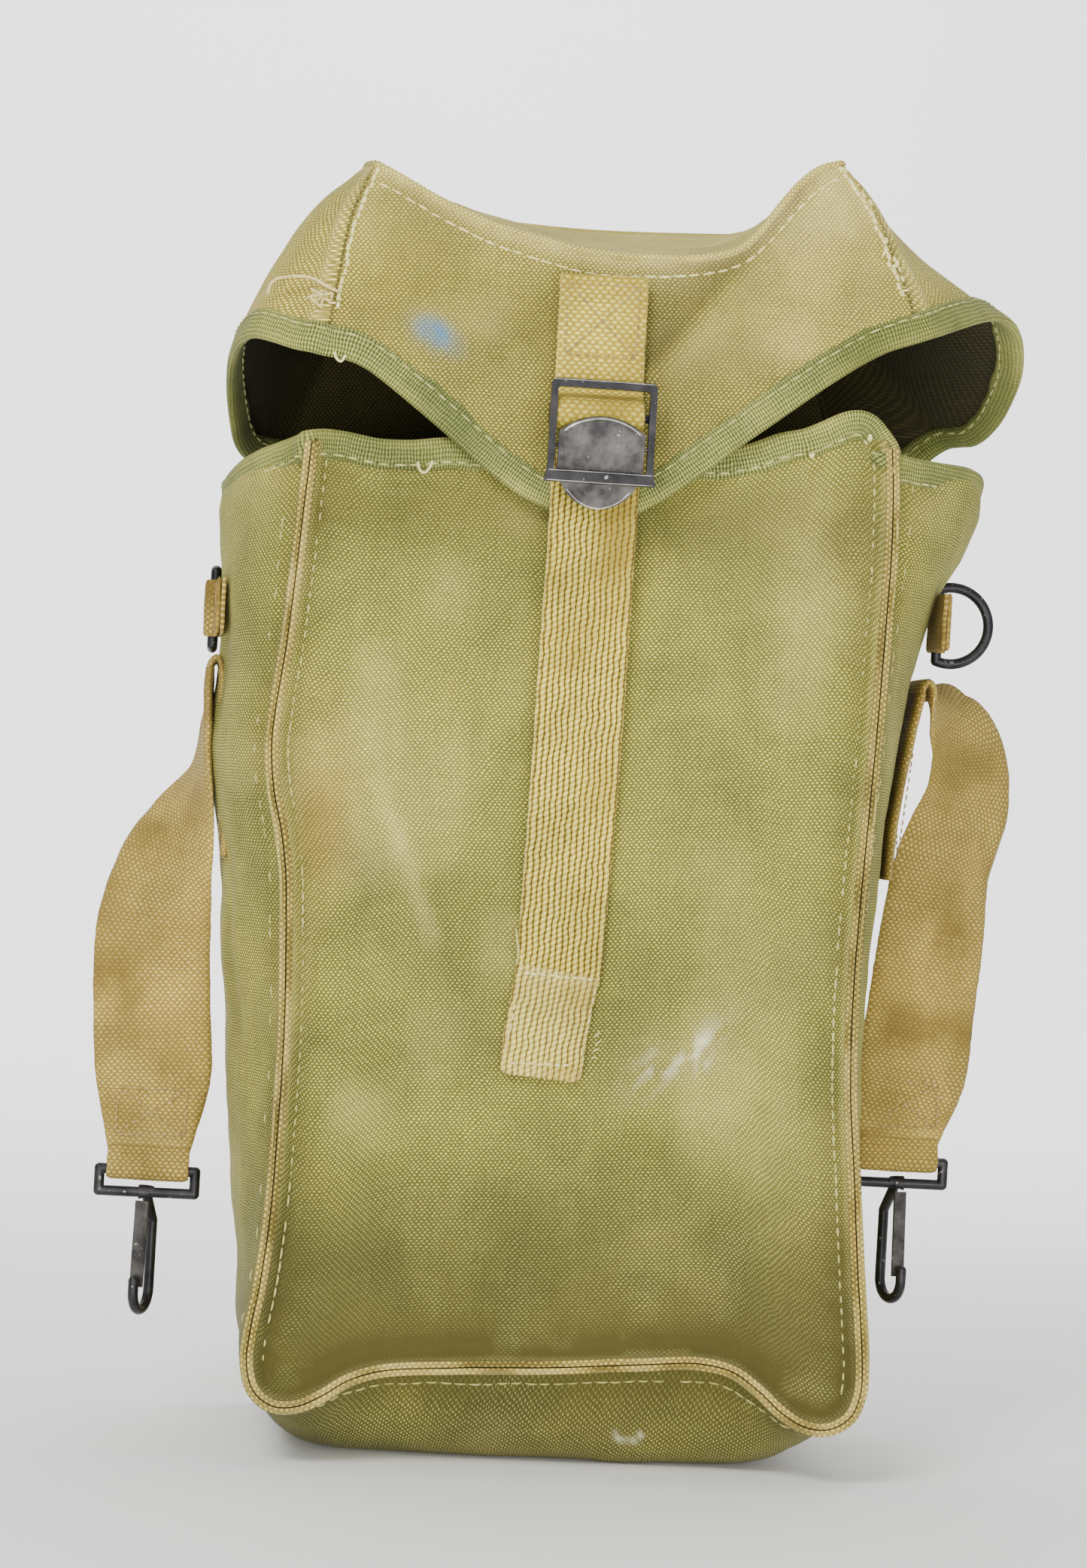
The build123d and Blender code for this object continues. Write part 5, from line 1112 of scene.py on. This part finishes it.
# closing strap: sewn end, then free up to the buckle
pz = np.linspace(117.6, 149.5, 40)
px = np.interp(pz, [117, 130, 150], [-8.2, -7.2, -4.4])
fy = np.array([front_y(a, b) for a, b in zip(px, pz)]) - 0.65
pp = np.stack([px, fy - 1.4, pz], 1)
wp = np.interp(pz, [117.6, 119, 121, 150], [21.5, 24.0, 24.6, 24.8])
patch = ribbon("closing_strap_sewn_end", pp, (0, -1, 0), wp, 2.9, web_twill, "bag", seed=520, wear_and_light=0.45 + np.exp(-((pz - 150) / 4) ** 2) * 0.5 + np.exp(-((pz - 118) / 3) ** 2) * 0.4)
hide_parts("closing_strap_patch")
e1 = stitches("pe1", np.stack([np.linspace(-18.0, 2.6, 14), np.full(14, pp[2, 1] - 1.5), np.full(14, 121.8)], 1), (0, -1, 0), thread, pitch=2.6, run=1.8, r=0.4, lift=0.1, seed=530)
e2 = stitches("pe2", np.stack([np.linspace(-15.6, 7.2, 14), np.full(14, pp[-3, 1] - 1.55), np.linspace(148.4, 147.2, 14)], 1), (0, -1, 0), thread, pitch=2.4, run=1.9, r=0.45, lift=0.1, seed=531)
e3 = stitches("pe3", np.stack([np.linspace(-15.8, -19.0, 14), np.full(14, pp[9, 1] - 1.5), np.linspace(146, 123, 14)], 1), (0, -1, 0), thread_tan, pitch=3.0, run=2.0, r=0.3, lift=0.1, seed=532)
e4 = stitches("pe4", np.stack([np.linspace(6.8, 3.2, 14), np.full(14, pp[9, 1] - 1.5), np.linspace(146, 123, 14)], 1), (0, -1, 0), thread_tan, pitch=3.0, run=2.0, r=0.3, lift=0.1, seed=533)
pst = merge("closing_strap_sewn_end_stitches", [e1, e2, e3, e4])
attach(pst, "bag")

sz = np.array([146.0, 152, 160, 180, 205, 230, 255, 275, 286, 294, 301.0])
sy = np.array([pp[-1, 1] - 0.2, pp[-1, 1] - 0.5, -57.6, -58.4, -59.3, -60.2, -61.2, -62.0, -62.25, -62.3, -62.3])
sx_ = np.array([-4.5, -4.3, -4.1, -3.6, -3.1, -2.8, -2.6, -2.4, -2.4, -2.4, -2.4])
p = path(np.stack([sx_, sy, sz], 1), step=1.0)
cs = ribbon("closing_strap_webbing", p, (0, -1, 0), np.interp(p[:, 2], [146, 165, 230, 301], [25.0, 25.6, 26.2, 25.8]), 1.4, web_twill, None, seed=540, do_ride=False, wavy=0.25)
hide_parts("closing_strap")
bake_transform(cs)

# ring tabs
for side, sx, x0, z0, body in (("left", -1, -111.4, 252.0, "bag"), ("right", 1, 113.5, 260.6, "bag")):
    a = np.linspace(-math.pi * 0.5, math.pi * 1.02, 22)
    r0 = 2.75
    loop = [(x0 + sx * r0 * math.sin(t), r0 * -math.cos(t) * -1) for t in a]
    pts = [(x0 - sx * 2.6, -25.0), (x0 - sx * 2.5, -14.0), (x0 - sx * 2.3, -5.0)]
    arcp = [(x0 + sx * 2.6 * math.cos(t), 2.6 * math.sin(t)) for t in np.linspace(math.radians(205), math.radians(-115), 18)]
    end = [(x0 - sx * 0.9, -5.2), (x0 - sx * 1.05, -14.0), (x0 - sx * 1.15, -24.4)]
    line3 = path([(q[0], q[1], z0) for q in pts + arcp + end], step=0.8)
    T = np.gradient(line3, axis=0); T /= np.linalg.norm(T, axis=1, keepdims=True)
    Nt = np.cross(T, np.array([0, 0, 1.0]))
    tab = ribbon(f"ring_tab_{side}_webbing", line3, Nt, 17.4, 1.25, web_side, body, seed=560 + sx, grime_and_shade=0.4)
    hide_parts(f"ring_tab_{side}")
    bx = rect_st(f"ring_tab_{side}_stitches", (x0 - sx * 0.45, -15.0, z0), (0, 1, 0), (0, 0, 1), 13, 13.5, (sx, 0, 0), thread_web, 570, cross=True)
    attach(bx, body)

# side straps: sewn part up the side, fold, quarter turn and hanging part down to the hook
for side, sx in (("left", -1), ("right", 1)):
    if side == "left":
        basep = [(-103.9, 0, 176.5), (-105.0, 0, 195), (-106.6, 0, 215), (-108.0, 0, 233.0)]
        hang = [(-111.6, 0, 233.5, 90), (-111.7, 0, 220, 89), (-112.4, 0, 204, 82), (-117.6, 0, 187, 56), (-122.4, 0, 170, 33), (-124.4, 0, 150, 12), (-123.4, 0, 128, 5), (-121.8, 0, 108, 2), (-121.8, 0, 92, 0), (-121.9, 0, 84.5, 0)]
        wid = [36, 36, 36, 36, 36.0, 36, 36, 35.4, 28.5, 25.0]
        hxc, barz = -121.9, 78.8
    else:
        basep = [(99.6, 0, 180.5), (100.8, 0, 200), (103.6, 0, 220), (107.0, 0, 238.5)]
        hang = [(110.6, 0, 239.0, 90), (118.4, 0, 233.0, 62), (125.2, 0, 222.0, 42), (126.0, 0, 206, 32), (119.6, 0, 186, 25), (117.2, 0, 162, 15), (115.2, 0, 140, 12), (113.4, 0, 120, 9), (111.0, 0, 106, 3), (110.4, 0, 98.5, 0)]
        wid = [36, 36, 36, 36.0, 36, 36, 36, 35.6, 29.0, 25.0]
        hxc, barz = 110.4, 92.8
    bp = path(basep, step=1.2)
    bs = ribbon(f"side_strap_{side}_sewn", bp, (sx, 0, -0.1), 36.0, 2.6, web_side, "bag", seed=600 + sx, grime_and_shade=0.35)
    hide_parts(f"carry_base_{side}")
    cb = np.array(basep[1]) * 0.5 + np.array(basep[2]) * 0.5
    bx = rect_st(f"side_strap_{side}_sewn_stitches", cb + np.array([sx * 1.4, 0, -6]), (0, 1, 0), (sx * 0.09, 0, 1), 30, 34, (sx, 0, 0), thread_web, 610, cross=True)
    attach(bx, "bag")
    hp4 = path([(*h[:3], h[3], w) for h, w in zip(hang, wid)], n=150)
    hc, ang, ww = hp4[:, :3], np.radians(hp4[:, 3]), hp4[:, 4]
    # face normal: sideways at the fold, to the front lower down
    Nf = np.stack([sx * np.sin(ang), -np.cos(ang), np.zeros(len(ang))], 1)
    hs_ = ribbon(f"side_strap_{side}_hanging", hc, Nf, ww, 2.7, web_side, f"strap_{side}", seed=620 + sx, grime_and_shade=0.3, wavy=0.3,
                 wear_and_light=0.35 * np.exp(-((hc[:, 2] - hc[-1, 2]) / 8) ** 2))
    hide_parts(f"carry_strap_{side}")
    # end fold round the hook's bar
    arcp = [(hxc, 2.55 * math.cos(t), barz + 2.55 * math.sin(t)) for t in np.linspace(math.radians(118), math.radians(-298), 24)]
    lp = path([(hxc, -0.72, barz + 7.5)] + [(hxc, 2.55 * math.cos(t), barz + 2.55 * math.sin(t)) for t in np.linspace(math.radians(235 - 90), math.radians(395), 20)] + [(hxc, 0.72, barz + 7.5)], step=0.7)
    T = np.gradient(lp, axis=0); T /= np.linalg.norm(T, axis=1, keepdims=True)
    ef = ribbon(f"side_strap_{side}_end_fold", lp, np.cross(T, np.array([1.0, 0, 0])), 25.0, 1.3, web_side, f"strap_{side}", seed=640 + sx, grime_and_shade=0.35)
    zc = barz + 16
    xc = float(np.interp(zc, hc[::-1, 2], hc[::-1, 0]))
    bx = rect_st(f"side_strap_{side}_stitches", (xc, -1.45, zc + 2), (1, 0, 0), (0, 0, 1), 21, 14, (0, -1, 0), thread_web, 650, cross=True)
    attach(bx, f"strap_{side}")
    # fold at the top, between the sewn and the hanging part
    top_b, top_h = bp[-1], hc[0]
    fp = path([top_b + np.array([0, 0, -2.5]), top_b + np.array([sx * 0.2, 0, 1.6]), (top_b + top_h) / 2 + np.array([0, 0, 3.4]), top_h + np.array([-sx * 0.2, 0, 1.2]), top_h + np.array([0, 0, -2.5])], step=0.7)
    T = np.gradient(fp, axis=0); T /= np.linalg.norm(T, axis=1, keepdims=True)
    ff = ribbon(f"side_strap_{side}_fold", fp, np.cross(np.array([0, sx, 0.0]), T) * -1, 35.6, 2.2, web_side, None, seed=660 + sx, grime_and_shade=0.3, do_ride=False)
    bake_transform(ff)

# --------------------------------------------------------------- CAD hardware
for nname in ("buckle_frame", "buckle_axle", "d_ring_left", "d_ring_right", "snap_hook_left", "snap_hook_right", "snap_collar_left", "snap_collar_right"):
    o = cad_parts[nname]
    o.data.materials.clear(); o.data.materials.append(steel)
for nname in ("buckle_cam", "snap_gate_left", "snap_gate_right"):
    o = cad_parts[nname]
    o.data.materials.clear(); o.data.materials.append(steel_plate)

cn = math.hypot(1, 0.25)
cz_, cyl = np.array([0, -1 / cn, -0.25 / cn]), np.array([0, -0.25 / cn, 1 / cn])
cam_nodes = [np.array(v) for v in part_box("buckle_cam")]
cam_o = np.array([-2.0, -70.8 + 0.7, 302.6])


def on_cam(u, v, out):
    return cam_o + np.array([1.0, 0, 0]) * u + cyl * v + cz_ * out


CAMW = 11.6
rim_line = path([on_cam(-CAMW, -6.0, 1.45), on_cam(-CAMW, 2.0, 1.45), on_cam(-CAMW + 0.3, 4.2, 1.45), on_cam(-7.0, 7.2, 1.5), on_cam(0, 8.7, 1.55), on_cam(7.0, 7.2, 1.5), on_cam(CAMW - 0.3, 4.2, 1.45), on_cam(CAMW, 2.0, 1.45), on_cam(CAMW, -6.0, 1.45)], step=0.5)
arch = rim_line[np.abs(rim_line[:, 2] - 310) < 3.6]
rim_ob = wire("buckle_cam_rim", arch, 0.42, steel_bright, k=8)
tabw = path([on_cam(u, v, 1.0) for u, v in ((-9.4, -12.4), (-6.4, -15.4), (-3.0, -17.2), (0, -17.75), (3.0, -17.2), (6.4, -15.4), (9.4, -12.4))], step=0.5)
rim2 = wire("buckle_cam_tab_edge", tabw, 0.34, steel_bright, k=8)
rim_ob = merge("buckle_cam_rim", [rim_ob, rim2])
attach(rim_ob, "cam")
wb = wire("buckle_bar_edge", path([(-17.2, -72.05, 295.2), (-10, -72.1, 295.25), (0, -72.1, 295.25), (9, -72.1, 295.2), (13.2, -72.05, 295.2)], step=0.8), 0.16, steel_bright, k=6)
wb2 = wire("buckle_bar_edge2", path([(-17.6, -71.9, 292.3), (-8, -72.0, 292.2), (4, -72.0, 292.2), (13.6, -71.9, 292.3)], step=0.8), 0.18, steel_bright, k=6)
wb3 = wire("buckle_bar_edge3", path([(-16.6, -72.05, 321.6), (-6, -72.05, 321.7), (6, -72.05, 321.7), (12.6, -72.05, 321.6)], step=0.8), 0.13, steel_bright, k=6)
wb = merge("buckle_bar_edge", [wb, wb2, wb3])
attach(wb, "buckle")

# ------------------------------------------------------------- loose threads
def hair(name, pts, mat, body, r=0.22):
    o = wire(name, path(pts, step=0.6), r, mat, k=6)
    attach(o, body)
    return o


hair("thread_flap_left_a", [(-101.0, -46, 343.6), (-99.6, -50, 347.0), (-94, -55, 348.2), (-88, -57.8, 347.6), (-84, -59.2, 345.4), (-80.6, -59.8, 344.0)], thread_tan, "flap", 0.42)
g3 = np.random.default_rng(17)
for i in range(7):
    c = np.array([-84.0, -60.0, 342.0]) + g3.uniform(-1, 1, 3) * np.array([3.2, 0.5, 3.6])
    pts = [c + g3.uniform(-1, 1, 3) * np.array([2.6, 0.5, 2.0]) for _ in range(4)]
    hair(f"thread_flap_tangle_{i}", pts, thread_tan if i % 2 else thread, "flap", 0.34)
for i, (cx_, cz2) in enumerate(((80.6, 366.0), (83.4, 363.4), (86.8, 356.0))):
    pts = [np.array([cx_, -58.4, cz2]) + g3.uniform(-1, 1, 3) * np.array([1.4, 0.3, 2.0]) for _ in range(4)]
    hair(f"thread_flap_right_{i}", pts, thread, "flap", 0.36)
hair("thread_flap_left_c", [(-80.6, -60.2, 326.4), (-80.0, -61.0, 324.4), (-78.6, -61.0, 323.6), (-77.4, -60.4, 325.6)], thread, "flap", 0.4)
hair("thread_mouth_left", [(-54.4, -58.4, 296.0), (-53.9, -59.6, 293.8), (-52.4, -60.0, 292.8), (-50.8, -59.6, 294.8), (-50.2, -58.6, 296.6)], thread, "bag", 0.4)
hair("thread_patch_left", [(-17.6, -57.8, 161.0), (-17.2, -58.4, 158.0), (-16.6, -58.2, 154.5), (-16.9, -57.9, 150.6)], thread_olive, "bag", 0.36)
for i, (a, b) in enumerate(((62.0, 305.4), (79.0, 311.6), (87.0, 303.0))):
    pts = [np.array([a, -58.9, b]) + g3.uniform(-1, 1, 3) * np.array([1.1, 0.3, 1.0]) for _ in range(5)]
    hair(f"thread_knot_{i}", pts, thread, "bag", 0.42)
for i in range(4):
    c = np.array([7.2 + g3.uniform(-0.6, 0.6), -57.4, 124 + 2.2 * i])
    hair(f"thread_patch_fray_{i}", [c, c + (0.9, -0.3, 0.7), c + (1.5, 0.1, 0.2 + 0.5 * i)], thread, "bag", 0.2)
# ------------------------------------------------------- floor, light, camera
stage_mat, nt, bsdf = new_mat("studio_floor")
gs = G(nt)
colf = gs.ramp(gs.noise(gs.n("ShaderNodeTexCoord").outputs["Object"], 2.0, 2.0), [(0.3, (0.86, 0.86, 0.86)), (0.7, (0.9, 0.9, 0.9))])
nt.links.new(colf, bsdf.inputs["Base Color"])
bsdf.inputs["Roughness"].default_value = 0.9
bsdf.inputs["Specular IOR Level"].default_value = 0.1
prof = [(-3.0, 0.0), (-1.0, 0.0), (1.2, 0.0), (1.9, 0.06), (2.4, 0.28), (2.75, 0.7), (2.9, 1.3), (2.95, 4.0)]
prof = path([(a, b, 0) for a, b in prof], n=60)[:, :2]
prof[:, 1] = np.maximum(prof[:, 1], 0.0)
V = [(x, a, b) for x in (-5.0, 5.0) for a, b in prof]
k = len(prof)
F = [(i, i + 1, k + i + 1, k + i) for i in range(k - 1)]
me = bpy.data.meshes.new("studio_floor"); me.from_pydata(V, [], F); me.update()
me.polygons.foreach_set("use_smooth", [True] * len(me.polygons))
me.materials.append(stage_mat)
floor = bpy.data.objects.new("studio_floor", me)
bpy.context.scene.collection.objects.link(floor)

world = bpy.data.worlds.new("studio")
bpy.context.scene.world = world
world.use_nodes = True
bg = world.node_tree.nodes["Background"]
bg.inputs[0].default_value = (1.0, 1.0, 1.0, 1.0)
bg.inputs[1].default_value = 0.5


def area(name, loc, target, size, power, colour=(1, 1, 1)):
    l = bpy.data.lights.new(name, "AREA")
    l.shape = "RECTANGLE"; l.size, l.size_y = size
    l.energy = power; l.color = colour
    o = bpy.data.objects.new(name, l)
    o.location = loc
    d = Vector(target) - Vector(loc)
    o.rotation_euler = d.to_track_quat("-Z", "Y").to_euler()
    bpy.context.scene.collection.objects.link(o)


area("key", (-0.75, -1.3, 1.35), (0, 0, 0.22), (0.7, 0.5), 28)
area("fill", (1.2, -1.2, 0.7), (0, 0, 0.2), (1.0, 1.0), 5)
area("low", (0.0, -1.1, 0.10), (0, -0.03, 0.01), (1.4, 0.3), 14)
area("backdrop", (0, 1.0, 1.9), (0, 2.9, 0.5), (2.5, 1.0), 110)
area("top", (0.1, 0.1, 1.7), (0, 0, 0.2), (0.8, 0.8), 7)

A_ = math.radians(-5.0); ROLL = math.radians(3.3)
back_v = Vector((math.sin(A_), -math.cos(A_), 0))
loc = Vector((-0.007, 0, 0.204)) + back_v * 1.155
r0 = Vector((math.cos(A_), math.sin(A_), 0)); u0 = Vector((0, 0, 1))
rgt = r0 * math.cos(ROLL) + u0 * math.sin(ROLL)
upv = u0 * math.cos(ROLL) - r0 * math.sin(ROLL)
cam_d = bpy.data.cameras.new("camera")
cam_d.lens = 4961.0 / 2084.0 * 36.0
cam_d.sensor_width = 36.0
cam_d.sensor_fit = "AUTO"
cam_d.dof.use_dof = False
cam_d.clip_start = 0.05
cam = bpy.data.objects.new("camera", cam_d)
M = Matrix((rgt, upv, back_v)).transposed().to_4x4()
M.translation = loc
cam.matrix_world = M
bpy.context.scene.collection.objects.link(cam)
bpy.context.scene.camera = cam
